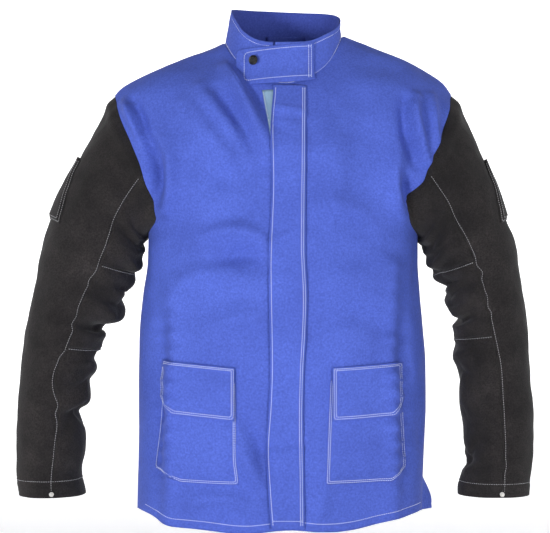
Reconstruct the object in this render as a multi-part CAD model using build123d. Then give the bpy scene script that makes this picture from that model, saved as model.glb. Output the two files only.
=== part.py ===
from build123d import *
import os
from math import hypot, sqrt

# Welding jacket: cotton drill body, split-leather sleeves.
# Millimetres.  The origin is the middle of the neck opening, the front faces -Y, +Z is up and
# +X is the wearer's left.  Every sheet of cloth or leather is a thin shell cut from nested
# lofted bodies, so the layers never touch.

# ---- driving dimensions --------------------------------------------------------------------
CLOTH = 1.5                 # one folded or lined layer of cotton drill
LINING = 1.1                # facings, linings and tapes
LEATHER = 2.0               # split leather
LAYER_GAP = 0.15            # between layers that are sewn together
MOVING_GAP = 0.5            # between a flap and what it lies on
SEAM_GAP = 0.4              # between panels at a seam

HEM_Z = -726
SHOULDER_SEAM_Y = 4         # fronts end here, the back begins
FRONT_EDGE_X = 15           # where the two fronts meet, under the storm flap

# Body: height, half width, front y, back y, share of an offset that also lifts the section
BODY_SECTIONS = [
    (-744, 226, -142, 134, 0.0),
    (-600, 227, -146, 137, 0.0),
    (-430, 225, -147, 139, 0.0),
    (-320, 215, -142, 139, 0.0),
    (-274, 214, -137, 138, 0.0),
    (-200, 275, -127, 134, 0.0),
    (-150, 298, -117, 129, 0.3),
    (-100, 298, -103, 121, 0.6),
    (-56, 267, -86, 110, 1.0),
    (-12, 177, -56, 98, 1.0),
    (31, 90, -28, 84, 1.0),
]
SHOULDER_TIP = (267, -56)
UNDERARM = (213, -274)

# Collar: a leaning oval band round the neck
NECK_HALF_WIDTH = 93
NECK_HALF_DEPTH = 87
COLLAR_TOP_WIDTH = 84
COLLAR_TOP_DEPTH = 80
COLLAR_LEAN_X = 7
COLLAR_LEAN_Y = 3
COLLAR_LOW_Z = -62
COLLAR_HIGH_Z = 104
COLLAR_EDGE_LOW = [(-100, -53), (0, 24), (100, 34)]      # y, z of the neck seam, from the side
COLLAR_EDGE_HIGH = [(-100, 14), (0, 68), (100, 88)]      # y, z of the top edge
COLLAR_SPLIT_X = -18
HANG_LOOP_LENGTH = 64
HANG_LOOP_WIDTH = 9
HANG_LOOP_Z = 42
HANG_LOOP_FRONT_Y = 67

# Storm flap and its tapes
FLY_LEFT_X = 34
FLY_RIGHT_X = -19
FLY_TOP_Z = -66
FLY_HEADER = 6
TAPE_X = (-9, 11)
TAPE_Z = (-700, -78)
FACING_WIDTH = 48

# Throat tab and its snap
TAB_SEWN_X = 43
TAB_FREE_X = -64
TAB_LOW_Z = -42
TAB_HIGH_Z = 9
TAB_TOP_STANDOFF = 3.3
TAB_LOW_OVAL = (-8, 106, 92)      # middle x, half width, half depth at the low edge
TAB_HEADER = 7
TAB_HEADER_GAP = 1.0              # the sewn end turns this far off the collar
SNAP_X = -41
SNAP_Z = -13
SNAP_CAP_RADIUS = 7.5
SNAP_HOLE_RADIUS = 2.5

# Pockets: inner and outer edge, mouth and bottom of the pouch, its clipped lower outer corner
POCKET_DEPTH = 9.0          # slack inside a pouch
POCKET_WALL = 5             # its sewn border
POCKETS = {
    "right": {"side": -1, "inner": 69, "outer": 192, "mouth": -502, "bottom": -656, "clip": (46, 21)},
    "left": {"side": 1, "inner": 67, "outer": 182, "mouth": -502, "bottom": -657, "clip": (20, 15)},
}
FLAP_HEIGHT = 79
FLAP_ABOVE_MOUTH = 22
FLAP_INSET = 5              # the flap is narrower than its pouch by this on each side
FLAP_CLIP = (17, 13)
FLAP_HEADER = 8

# Sleeves: outer point, inner point (x, z), middle y and half depth of each section
SLEEVES = {
    "right": {
        "side": -1,
        "stations": [
            ((312, -135), (219, -285), -1, 80),
            ((357, -228), (228, -304), -3, 79),
            ((394, -358), (256, -402), -8, 72),
            ((419, -508), (303, -510), -22, 60),
            ((423, -602), (317, -602), -32, 52),
            ((416, -694), (317, -690), -38, 46),
        ],
        "seam": [(214, -160), (262, -266), (312, -387), (350, -510), (351, -610), (356, -720)],
        "elbow": (-352, -458),
    },
    "left": {
        "side": 1,
        "stations": [
            ((310, -139), (218, -287), -1, 80),
            ((349, -231), (229, -306), -3, 78),
            ((382, -360), (260, -396), -8, 70),
            ((394, -503), (278, -500), -20, 60),
            ((397, -614), (288, -614), -30, 53),
            ((389, -694), (281, -690), -36, 47),
        ],
        "seam": [(216, -150), (251, -229), (299, -334), (333, -488), (338, -610), (336, -720)],
        "elbow": (-348, -450),
    },
}
ARMHOLE_DEPTH = 78
SLEEVE_POCKET_LENGTH = 104
SLEEVE_POCKET_WIDTH = 40
SLEEVE_POCKET_GAP = 3.0
SLEEVE_POCKET_TURN = 24     # degrees from the outer line of the sleeve towards the front
CUFF_RIVET_RADIUS = 3.6
CUFF_RIVET_Z = -680

BIG = 900                   # longer than any cut needs to reach
PARTS_FOLDER = "parts"


# ---- shared shapes -------------------------------------------------------------------------
def body_form(offset):
    """The whole body as one solid, grown by offset."""
    faces = []
    for z, half_width, front, back, lift in BODY_SECTIONS:
        plane = Plane((0, (front + back) / 2, z + lift * offset))
        faces.append(plane * Ellipse(half_width + offset, (back - front) / 2 + offset))
    return loft(faces, ruled=True)


def block(x_low, x_high, y_low, y_high, z_low, z_high):
    """A box given by its two corners."""
    size = Box(x_high - x_low, y_high - y_low, z_high - z_low)
    return Pos((x_low + x_high) / 2, (y_low + y_high) / 2, (z_low + z_high) / 2) * size


def armhole_plane(side, outward=0.0):
    """The plane of one armhole, its z axis pointing out along the sleeve."""
    rise = SHOULDER_TIP[1] - UNDERARM[1]
    spread = SHOULDER_TIP[0] - UNDERARM[0]
    length = hypot(rise, spread)
    normal = Vector(side * rise / length, 0, -spread / length)
    middle = Vector(side * (SHOULDER_TIP[0] + UNDERARM[0]) / 2, 0, (SHOULDER_TIP[1] + UNDERARM[1]) / 2)
    up = Vector(side * spread / length, 0, rise / length)
    return Plane(origin=middle + normal * outward, x_dir=up, z_dir=normal)


def armhole_height():
    return hypot(SHOULDER_TIP[0] - UNDERARM[0], SHOULDER_TIP[1] - UNDERARM[1])


def front_prism(points, y_low, y_high):
    """A straight-sided outline seen from the front, carried from y_low to y_high."""
    outline = Polyline(*[(x, z) for x, z in points], close=True)
    face = Plane.XZ * make_face(outline)
    return Pos(0, y_high, 0) * extrude(face, y_high - y_low)


def main_solid(shape):
    """The largest solid of a cut, which is the piece itself."""
    return max(shape.solids(), key=lambda solid: solid.volume)


class BodyLayers:
    """Shells of the body form, kept so that each offset is lofted once."""

    def __init__(self):
        self.forms = {}

    def form(self, offset):
        key = round(offset, 3)
        if key not in self.forms:
            self.forms[key] = body_form(offset)
        return self.forms[key]

    def piece(self, prism, inner, outer):
        """The part of the layer from inner to outer that lies inside a prism."""
        return main_solid((prism & self.form(outer)) - self.form(inner))


# ---- body ----------------------------------------------------------------------------------
def neck_tube(extra=0.0):
    """The upright oval that the neck seam follows."""
    face = Plane((0, 0, -200)) * Ellipse(NECK_HALF_WIDTH + extra, NECK_HALF_DEPTH + extra)
    return extrude(face, 400)


def body_panels(layers):
    """Two fronts and the back, open at the neck, the armholes and the hem."""
    shell = layers.form(0) - layers.form(-CLOTH)
    shell = shell - neck_tube(LAYER_GAP)
    for side in (-1, 1):
        height = armhole_height()
        plane = armhole_plane(side)
        shell = shell - plane * Pos(BIG / 2 - height / 2, 0, BIG / 2) * Box(BIG, BIG, BIG)
    y_front = SHOULDER_SEAM_Y - SEAM_GAP / 2
    y_back = SHOULDER_SEAM_Y + SEAM_GAP / 2
    x_right = FRONT_EDGE_X - SEAM_GAP / 2
    x_left = FRONT_EDGE_X + SEAM_GAP / 2
    return {
        "right_front_panel": main_solid(shell & block(-BIG, x_right, -BIG, y_front, HEM_Z, BIG)),
        "left_front_panel": main_solid(shell & block(x_left, BIG, -BIG, y_front, HEM_Z, BIG)),
        "back_panel": main_solid(shell & block(-BIG, BIG, y_back, BIG, HEM_Z, BIG)),
    }


def front_facings(layers):
    """Strips that line both front edges on the inside."""
    outer = -CLOTH - LAYER_GAP
    inner = outer - LINING
    edges = {
        "right_front_facing": (FRONT_EDGE_X - FACING_WIDTH, FRONT_EDGE_X - 1),
        "left_front_facing": (FRONT_EDGE_X + 1, FRONT_EDGE_X + FACING_WIDTH),
    }
    pieces = {}
    for name, (x_low, x_high) in edges.items():
        prism = block(x_low, x_high, -BIG, 0, HEM_Z + 2, TAPE_Z[1])
        pieces[name] = layers.piece(prism, inner, outer)
    return pieces


def storm_flap(layers):
    """The flap over the front opening, its lining, and the hook and loop tapes."""
    loop_out = LAYER_GAP + LINING
    hook_in = loop_out + MOVING_GAP
    hook_out = hook_in + LINING
    lining_in = hook_out + LAYER_GAP
    lining_out = lining_in + LINING
    fly_in = lining_out + LAYER_GAP
    fly_out = fly_in + CLOTH
    header_x = FLY_LEFT_X - FLY_HEADER
    tape = block(TAPE_X[0], TAPE_X[1], -BIG, 0, TAPE_Z[0], TAPE_Z[1])
    lining = block(FLY_RIGHT_X + 2, header_x - SEAM_GAP, -BIG, 0, HEM_Z + 4, FLY_TOP_Z - 1)
    whole = block(FLY_RIGHT_X, FLY_LEFT_X, -BIG, 0, HEM_Z, FLY_TOP_Z)
    header = block(header_x, FLY_LEFT_X, -BIG, 0, HEM_Z, FLY_TOP_Z)
    cover = layers.piece(whole, fly_in, fly_out)
    root = layers.piece(header, MOVING_GAP, fly_out)
    return {
        "loop_tape": layers.piece(tape, LAYER_GAP, loop_out),
        "hook_tape": layers.piece(tape, hook_in, hook_out),
        "fly_lining": layers.piece(lining, lining_in, lining_out),
        "front_fly": main_solid(cover + root),
    }


# ---- pockets -------------------------------------------------------------------------------
def pocket_outline(pocket, inset, mouth):
    """Pouch outline with one clipped lower outer corner, as (x, z)."""
    side = pocket["side"]
    inner = pocket["inner"] + inset
    outer = pocket["outer"] - inset
    bottom = pocket["bottom"] + inset
    clip_x, clip_z = pocket["clip"]
    low_corner = [(outer, bottom + clip_z), (outer - clip_x, bottom)]
    points = [(inner, mouth), (outer, mouth)] + low_corner + [(inner, bottom)]
    return [(side * x, z) for x, z in points]


def patch_pocket(layers, pocket):
    """A patch sewn down on three sides, standing off its panel and open at the top."""
    solid = front_prism(pocket_outline(pocket, 0, pocket["mouth"]), -BIG, 0)
    hollow = front_prism(pocket_outline(pocket, POCKET_WALL, pocket["mouth"] + 20), -BIG, 0)
    patch = (solid & layers.form(POCKET_DEPTH + CLOTH)) - layers.form(LAYER_GAP)
    space = hollow & layers.form(POCKET_DEPTH)
    return main_solid(patch - space)


def flap_layers():
    inner = POCKET_DEPTH + CLOTH + MOVING_GAP
    return inner, inner + CLOTH


def flap_outline(pocket):
    side = pocket["side"]
    inner = pocket["inner"] + FLAP_INSET
    outer = pocket["outer"] - FLAP_INSET
    top = pocket["mouth"] + FLAP_ABOVE_MOUTH
    low = top - FLAP_HEIGHT
    clip_x, clip_z = FLAP_CLIP
    low_corner = [(outer, low + clip_z), (outer - clip_x, low)]
    points = [(inner, top), (outer, top)] + low_corner + [(inner, low)]
    return [(side * x, z) for x, z in points]


def pocket_flap(layers, pocket):
    """The flap over a pocket's mouth, with its sewn top edge as a thicker header."""
    inner, outer = flap_layers()
    leaf = layers.piece(front_prism(flap_outline(pocket), -BIG, 0), inner, outer)
    top = pocket["mouth"] + FLAP_ABOVE_MOUTH
    inner_x = pocket["side"] * (pocket["inner"] + FLAP_INSET)
    outer_x = pocket["side"] * (pocket["outer"] - FLAP_INSET)
    band = block(min(inner_x, outer_x), max(inner_x, outer_x), -BIG, 0, top - FLAP_HEADER, top)
    header = layers.piece(band, MOVING_GAP, outer)
    return main_solid(leaf + header)


# ---- collar --------------------------------------------------------------------------------
def collar_form(offset):
    """The collar's oval, narrower and leaning towards its top, grown by offset."""
    low = Plane((0, 0, COLLAR_LOW_Z)) * Ellipse(NECK_HALF_WIDTH + offset, NECK_HALF_DEPTH + offset)
    lean = (COLLAR_LEAN_X, COLLAR_LEAN_Y, COLLAR_HIGH_Z)
    high = Plane(lean) * Ellipse(COLLAR_TOP_WIDTH + offset, COLLAR_TOP_DEPTH + offset)
    return loft([low, high], ruled=True)


def collar_half_axes(z, offset=0.0):
    """Middle and half axes of the collar's oval at a height."""
    share = (z - COLLAR_LOW_Z) / (COLLAR_HIGH_Z - COLLAR_LOW_Z)
    half_width = NECK_HALF_WIDTH + share * (COLLAR_TOP_WIDTH - NECK_HALF_WIDTH) + offset
    half_depth = NECK_HALF_DEPTH + share * (COLLAR_TOP_DEPTH - NECK_HALF_DEPTH) + offset
    return share * COLLAR_LEAN_X, share * COLLAR_LEAN_Y, half_width, half_depth


def collar_front_point(x, z, offset=0.0):
    """A point on the front of the collar and the outward direction there."""
    middle_x, middle_y, half_width, half_depth = collar_half_axes(z, offset)
    run = (x - middle_x) / half_width
    y = middle_y - half_depth * sqrt(1 - run * run)
    outward = Vector(run / half_width, (y - middle_y) / half_depth ** 2, 0).normalized()
    return Vector(x, y, z), outward


def collar_band(drop_top):
    """The collar's band seen from the side, as a solid reaching through both sides."""
    low = ThreePointArc(*COLLAR_EDGE_LOW)
    high = ThreePointArc(*[(y, z - drop_top) for y, z in COLLAR_EDGE_HIGH])
    front = Line(low @ 0, high @ 0)
    back = Line(low @ 1, high @ 1)
    face = make_face(low + back + high + front)
    return Pos(-BIG / 2, 0, 0) * extrude(Plane.YZ * face, BIG)


def collar_pieces():
    split = block(COLLAR_SPLIT_X - 0.5, COLLAR_SPLIT_X + 0.5, -BIG, 0, -BIG, BIG)
    outer = collar_form(-LAYER_GAP) & collar_band(0)
    outer = outer - collar_form(-CLOTH) - split
    lining = collar_form(-CLOTH - LAYER_GAP) & collar_band(1.5)
    lining = lining - collar_form(-CLOTH - LAYER_GAP - LINING) - split
    return {"collar_outer": main_solid(outer), "collar_lining": main_solid(lining)}


def hang_loop():
    """A tape bridge across the inside of the back of the collar."""
    half_length = HANG_LOOP_LENGTH / 2
    z_low = HANG_LOOP_Z - HANG_LOOP_WIDTH / 2
    z_high = HANG_LOOP_Z + HANG_LOOP_WIDTH / 2
    bar_y = HANG_LOOP_FRONT_Y
    arch = block(-half_length, half_length, bar_y, bar_y + 20, z_low, z_high)
    gap = block(-half_length + 4, half_length - 4, bar_y + LINING, bar_y + 21, z_low - 1, z_high + 1)
    inner = collar_form(-CLOTH - 2 * LAYER_GAP - LINING)
    return main_solid((arch - gap) & inner)


# ---- throat tab and snap -------------------------------------------------------------------
def tab_oval(z, offset=0.0):
    """Middle and half axes of the tab's inner face, which stands off more at its low edge."""
    high_x, high_y, high_width, high_depth = collar_half_axes(TAB_HIGH_Z, TAB_TOP_STANDOFF)
    low_x, low_width, low_depth = TAB_LOW_OVAL
    share = (z - TAB_LOW_Z) / (TAB_HIGH_Z - TAB_LOW_Z)
    middle_x = low_x + share * (high_x - low_x)
    half_width = low_width + share * (high_width - low_width) + offset
    half_depth = low_depth + share * (high_depth - low_depth) + offset
    return middle_x, share * high_y, half_width, half_depth


def tab_form(offset):
    """The oval cone that the tab is cut from, grown by offset."""
    ovals = []
    for z in (TAB_LOW_Z - 1, TAB_HIGH_Z + 1):
        middle_x, middle_y, half_width, half_depth = tab_oval(z, offset)
        ovals.append(Plane((middle_x, middle_y, z)) * Ellipse(half_width, half_depth))
    return loft(ovals, ruled=True)


def standoff_at_snap():
    """Distance from the collar to the tab's inner face along the snap's axis."""
    point, outward = collar_front_point(SNAP_X, SNAP_Z)
    middle_x, middle_y, half_width, half_depth = tab_oval(SNAP_Z)
    start_x = (point.X - middle_x) / half_width
    start_y = (point.Y - middle_y) / half_depth
    step_x = outward.X / half_width
    step_y = outward.Y / half_depth
    a = step_x ** 2 + step_y ** 2
    b = start_x * step_x + start_y * step_y
    c = start_x ** 2 + start_y ** 2 - 1
    return (sqrt(b * b - a * c) - b) / a


def snap_disc(offset, radius, height, top_radius=None):
    """A disc or cone on the snap's axis, starting at an offset from the collar's face."""
    point, outward = collar_front_point(SNAP_X, SNAP_Z)
    plane = Plane(origin=point + outward * offset, x_dir=(0, 0, 1), z_dir=outward)
    solid = Cylinder(radius, height)
    if top_radius:
        solid = Cone(radius, top_radius, height)
    return plane * Pos(0, 0, height / 2) * solid


def throat_tab():
    thickness = CLOTH + LINING
    span = block(TAB_FREE_X, TAB_SEWN_X, -BIG, 0, TAB_LOW_Z, TAB_HIGH_Z)
    leaf = (tab_form(thickness) & span) - tab_form(0)
    band = block(TAB_SEWN_X - TAB_HEADER, TAB_SEWN_X, -BIG, 0, TAB_LOW_Z, TAB_HIGH_Z)
    header = (tab_form(thickness) & band) - collar_form(TAB_HEADER_GAP)
    return main_solid(leaf + header - snap_disc(0, SNAP_HOLE_RADIUS, 20))


def snap_pieces():
    """Cap and socket on the tab, stud and post on the collar."""
    standoff = standoff_at_snap()
    thickness = CLOTH + LINING
    cap_start = standoff + thickness + 1.9        # clear of the tab's curved face
    rim_height = 1.0
    cap = snap_disc(cap_start, SNAP_CAP_RADIUS, rim_height)
    cap = cap + snap_disc(cap_start + rim_height, SNAP_CAP_RADIUS, 1.6, SNAP_CAP_RADIUS * 0.6)
    shank = snap_disc(standoff - 1.4, 2.1, thickness + 3.8)
    socket_low = standoff - 3.6
    socket = snap_disc(socket_low, 6.0, 2.2) - snap_disc(0, 4.0, 20)
    stud_base = 0.3
    stud = snap_disc(stud_base, 4.8, 0.7) + snap_disc(stud_base, 2.7, standoff - 2.4)
    post = snap_disc(-CLOTH - LINING - LAYER_GAP - 1.6, 4.5, 0.9)
    return {
        "tab_snap_cap": main_solid(cap + shank),
        "tab_snap_socket": main_solid(socket),
        "collar_snap_stud": main_solid(stud),
        "collar_snap_post": main_solid(post),
    }


# ---- sleeves -------------------------------------------------------------------------------
def station_plane(side, station, along=0.0):
    """Plane across the sleeve at a station, moved a little along the sleeve."""
    (outer_x, outer_z), (inner_x, inner_z), y, _ = station
    across = Vector(side * (outer_x - inner_x), 0, outer_z - inner_z).normalized()
    onward = Vector(side * (outer_z - inner_z), 0, -(outer_x - inner_x)).normalized()
    middle = Vector(side * (outer_x + inner_x) / 2, y, (outer_z + inner_z) / 2)
    return Plane(origin=middle + onward * along, x_dir=across, z_dir=onward)


def station_half_width(station):
    (outer_x, outer_z), (inner_x, inner_z), _, _ = station
    return hypot(outer_x - inner_x, outer_z - inner_z) / 2


def sleeve_form(sleeve, offset, overrun):
    """The sleeve as one solid from the armhole to the cuff, grown by offset."""
    side = sleeve["side"]
    start = armhole_plane(side, MOVING_GAP - overrun)
    faces = [start * Ellipse(armhole_height() / 2 - 1 + offset, ARMHOLE_DEPTH + offset)]
    stations = sleeve["stations"]
    for station in stations:
        along = overrun if station is stations[-1] else 0.0
        plane = station_plane(side, station, along)
        faces.append(plane * Ellipse(station_half_width(station) + offset, station[3] + offset))
    return loft(faces)


def seam_region(sleeve, shift):
    """Everything on the body side of the long seam, seen from the front."""
    side = sleeve["side"]
    points = [(side * (x + shift), z) for x, z in sleeve["seam"]]
    seam = Spline(*points)
    first = Vector(points[0][0], points[0][1])
    last = Vector(points[-1][0], points[-1][1])
    corner_high = Vector(side * 100, first.Y)
    corner_low = Vector(side * 100, last.Y)
    border = Polyline(last, corner_low, corner_high, first)
    face = Plane.XZ * make_face(seam + border)
    return Pos(0, 200, 0) * extrude(face, 400)


def sleeve_panels(name, sleeve):
    """Outer panel and the three panels of the under sleeve."""
    shell = sleeve_form(sleeve, 0, 0.0) - sleeve_form(sleeve, -LEATHER, 3.0)
    top = main_solid(shell - seam_region(sleeve, SEAM_GAP))
    under = shell & seam_region(sleeve, 0)
    high, low = sleeve["elbow"]
    bands = {
        "sleeve_under_upper": (high + SEAM_GAP, 0),
        "elbow_panel": (low + SEAM_GAP, high),
        "sleeve_under_lower": (-BIG, low),
    }
    pieces = {name + "_sleeve_top": top}
    for band, (z_low, z_high) in bands.items():
        pieces[name + "_" + band] = main_solid(under & block(-BIG, BIG, -BIG, BIG, z_low, z_high))
    return pieces


def sleeve_pocket(sleeve):
    """A narrow patch on the outside of the upper arm, open at its top."""
    plane = station_plane(sleeve["side"], sleeve["stations"][1])
    turned = plane * Rot(0, 0, sleeve["side"] * SLEEVE_POCKET_TURN)
    length = SLEEVE_POCKET_LENGTH
    reach = 200
    prism = turned * Pos(reach / 2, 0, -8) * Box(reach, SLEEVE_POCKET_WIDTH, length)
    hollow = turned * Pos(reach / 2, 0, -14) * Box(reach, SLEEVE_POCKET_WIDTH - 10, length)
    patch = prism & sleeve_form(sleeve, SLEEVE_POCKET_GAP + LEATHER, 0.0)
    space = hollow & sleeve_form(sleeve, SLEEVE_POCKET_GAP, 0.0)
    return main_solid(patch - sleeve_form(sleeve, LAYER_GAP, 0.0) - space)


def cuff_rivet(sleeve):
    """A flat rivet head on the long seam just above the cuff."""
    x = sleeve["side"] * sleeve["seam"][-1][0]
    pin = Pos(x, 0, CUFF_RIVET_Z) * Rot(90, 0, 0) * Cylinder(CUFF_RIVET_RADIUS, 400)
    front = pin & block(-BIG, BIG, -BIG, -40, -BIG, BIG)
    return main_solid((front & sleeve_form(sleeve, 1.6, 0.0)) - sleeve_form(sleeve, LAYER_GAP, 0.0))


# ---- assembly ------------------------------------------------------------------------------
def all_pieces():
    layers = BodyLayers()
    pieces = {}
    pieces.update(body_panels(layers))
    pieces.update(front_facings(layers))
    pieces.update(storm_flap(layers))
    for name, pocket in POCKETS.items():
        pieces[name + "_pocket"] = patch_pocket(layers, pocket)
        pieces[name + "_pocket_flap"] = pocket_flap(layers, pocket)
    pieces.update(collar_pieces())
    pieces["hang_loop"] = hang_loop()
    pieces["collar_tab"] = throat_tab()
    pieces.update(snap_pieces())
    for name, sleeve in SLEEVES.items():
        pieces.update(sleeve_panels(name, sleeve))
        pieces[name + "_sleeve_pocket"] = sleeve_pocket(sleeve)
        pieces[name + "_cuff_rivet"] = cuff_rivet(sleeve)
    return pieces


def main():
    os.makedirs(PARTS_FOLDER, exist_ok=True)
    for name, solid in all_pieces().items():
        solid.label = name
        export_step(solid, os.path.join(PARTS_FOLDER, name + ".step"))


main()
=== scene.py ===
import math
from functools import partial

import bpy
import numpy as np
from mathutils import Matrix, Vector, noise
from mathutils.bvhtree import BVHTree


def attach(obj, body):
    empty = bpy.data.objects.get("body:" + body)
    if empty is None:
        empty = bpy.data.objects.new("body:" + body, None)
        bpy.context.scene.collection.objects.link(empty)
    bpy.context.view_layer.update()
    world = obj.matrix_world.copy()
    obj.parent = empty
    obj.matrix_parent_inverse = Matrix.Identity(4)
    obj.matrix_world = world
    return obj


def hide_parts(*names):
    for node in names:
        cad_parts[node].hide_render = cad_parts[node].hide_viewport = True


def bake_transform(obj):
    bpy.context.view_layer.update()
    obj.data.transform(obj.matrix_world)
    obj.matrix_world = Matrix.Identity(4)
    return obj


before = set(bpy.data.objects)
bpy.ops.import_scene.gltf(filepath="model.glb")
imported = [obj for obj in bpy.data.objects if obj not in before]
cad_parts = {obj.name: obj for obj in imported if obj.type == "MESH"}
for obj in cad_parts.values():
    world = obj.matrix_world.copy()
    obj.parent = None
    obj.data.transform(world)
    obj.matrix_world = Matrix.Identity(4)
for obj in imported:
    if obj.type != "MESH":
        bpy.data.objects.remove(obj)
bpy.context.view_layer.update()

# A welding jacket: blue cotton drill body, black split-leather sleeves, pale topstitching.
# Lengths are in millimetres until a mesh is made.  The front faces -Y, +X is the wearer's left.

MM = 0.001
SIDE_NAMES = {-1: "right", 1: "left"}   # the wearer's sides, by the sign of X

CLOTH = 1.1                 # cotton drill
LEATHER = 1.7               # split leather
FRONT_EDGE_X = 15
HEM_Z = -725
SQUARENESS = 2.25           # 2 is an ellipse, more is boxier
NEARLY = 0.999999           # a seam lies this share of the way out to the form's ridge

STITCH_LENGTH = 2.7
STITCH_PITCH = 3.5
STITCH_RADIUS = 0.42
STITCH_LIFT = 0.22          # a thread's middle above the cloth
RUN_PITCH = 4.0             # between the places where a row is laid on the cloth
CAMERA_PLACE = (-0.0128, -2.300, -0.3300)
CAMERA_LENS = 94.5
FLOOR_Z = -0.86
ROOM_RADIUS = 5.6
ROOM_HEIGHT = 4.0
ROOM_BEND = 1.0             # radius where the floor turns up into the wall


# ---- camera and studio -----------------------------------------------------------------------
def make_camera():
    data = bpy.data.cameras.new("camera")
    data.lens = CAMERA_LENS
    data.sensor_width = 36
    camera = bpy.data.objects.new("camera", data)
    camera.location = CAMERA_PLACE
    camera.rotation_euler = (math.radians(90), 0, 0)
    bpy.context.scene.collection.objects.link(camera)
    bpy.context.scene.camera = camera


def area_light(name, place, target, size, power):
    data = bpy.data.lights.new(name, "AREA")
    data.shape = "SQUARE"
    data.size = size
    data.energy = power
    lamp = bpy.data.objects.new(name, data)
    lamp.location = place
    lamp.rotation_euler = (Vector(target) - Vector(place)).to_track_quat("-Z", "Y").to_euler()
    bpy.context.scene.collection.objects.link(lamp)


def make_studio():
    """Two soft lights in front, a weak one above and a dim even sky."""
    world = bpy.data.worlds.new("studio")
    world.use_nodes = True
    sky = world.node_tree.nodes["Background"]
    sky.inputs["Color"].default_value = (1, 1, 1, 1)
    sky.inputs["Strength"].default_value = 0.07
    bpy.context.scene.world = world
    area_light("key", (-1.3, -2.3, -0.55), (0, 0, -0.35), 0.45, 46)
    area_light("fill", (1.3, -2.3, -0.4), (0, 0, -0.4), 0.9, 28)
    area_light("top", (0.2, -0.6, 2.0), (0, 0, -0.2), 1.4, 4)
    make_backdrop()


def make_backdrop():
    """A pale round room that glows softly behind the jacket."""
    profile = [(0.0005, FLOOR_Z), (ROOM_RADIUS - ROOM_BEND, FLOOR_Z)]
    for step in range(1, 9):
        angle = math.radians(90 * step / 8)
        radius = ROOM_RADIUS - ROOM_BEND + ROOM_BEND * math.sin(angle)
        profile.append((radius, FLOOR_Z + ROOM_BEND * (1 - math.cos(angle))))
    profile.append((ROOM_RADIUS, ROOM_HEIGHT))
    sides = 64
    vertices = []
    for radius, z in profile:
        for k in range(sides):
            angle = 2 * math.pi * k / sides
            vertices.append((radius * math.cos(angle), radius * math.sin(angle), z))
    mesh = bpy.data.meshes.new("backdrop")
    mesh.from_pydata(vertices, [], grid_faces(len(profile), sides, wrap=True))
    for polygon in mesh.polygons:
        polygon.use_smooth = True
    backdrop = bpy.data.objects.new("backdrop", mesh)
    bpy.context.scene.collection.objects.link(backdrop)
    pale = Nodes("pale_backdrop")
    pale.shader.inputs["Base Color"].default_value = (0.93, 0.93, 0.94, 1)
    pale.shader.inputs["Roughness"].default_value = 0.9
    pale.shader.inputs["Emission Color"].default_value = (1, 1, 1, 1)
    depth = pale.add("ShaderNodeSeparateXYZ", None, Vector=pale.place).outputs["Y"]
    glow_range = {"From Min": -0.6, "From Max": 1.5, "To Min": 0.02, "To Max": 0.72}
    glow = pale.add("ShaderNodeMapRange", glow_range, Value=depth)
    pale.link(glow.outputs["Result"], "Emission Strength")
    mesh.materials.append(pale.material)


# ---- numbers ---------------------------------------------------------------------------------
def smooth(points):
    """A monotone cubic through (input, value) points, as a function of arrays."""
    xs = np.array([p[0] for p in points], float)
    ys = np.array([p[1] for p in points], float)
    gap = np.diff(xs)
    slope = np.diff(ys) / gap
    rising = slope[:-1] * slope[1:] > 0
    before = np.where(rising, slope[:-1], 1)
    after = np.where(rising, slope[1:], 1)
    w1 = 2 * gap[1:] + gap[:-1]
    w2 = gap[1:] + 2 * gap[:-1]
    tangent = np.zeros_like(ys)
    tangent[1:-1] = np.where(rising, (w1 + w2) / (w1 / before + w2 / after), 0)
    tangent[0] = slope[0]
    tangent[-1] = slope[-1]

    def at(x):
        x = np.clip(np.asarray(x, float), xs[0], xs[-1])
        i = np.clip(np.searchsorted(xs, x) - 1, 0, len(xs) - 2)
        t = (x - xs[i]) / gap[i]
        h00 = (1 + 2 * t) * (1 - t) ** 2
        h10 = t * (1 - t) ** 2
        h01 = t * t * (3 - 2 * t)
        h11 = t * t * (t - 1)
        start = h00 * ys[i] + h10 * gap[i] * tangent[i]
        return start + h01 * ys[i + 1] + h11 * gap[i] * tangent[i + 1]

    return at


def path_2d(points):
    """A smooth plane path through points, by share of its length."""
    points = np.array(points, float)
    steps = np.hypot(*np.diff(points, axis=0).T)
    length = np.concatenate([[0], np.cumsum(steps)]) / steps.sum()
    first = smooth(list(zip(length, points[:, 0])))
    second = smooth(list(zip(length, points[:, 1])))
    return lambda t: np.stack([first(t), second(t)], axis=-1)


def ease(t):
    t = np.clip(t, 0, 1)
    return t * t * (3 - 2 * t)


def bump(distance, width):
    return np.exp(-((distance / width) ** 2))


def unit_grid(rows, columns):
    """Shares from 0 to 1 across and up a grid."""
    across = np.linspace(0, 1, columns)[None] + np.zeros((rows, 1))
    up = np.linspace(0, 1, rows)[:, None] + np.zeros((1, columns))
    return across, up


def soft_noise(points, scale, seed):
    """Smooth noise from -1 to 1 at each point; scale is the size of its lumps."""
    shift = Vector((seed * 13.7, seed * 5.1, seed * 9.3))
    flat = points.reshape(-1, 3) / scale
    values = [noise.noise(Vector(p) + shift) for p in flat]
    return np.array(values).reshape(points.shape[:-1])


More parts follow.
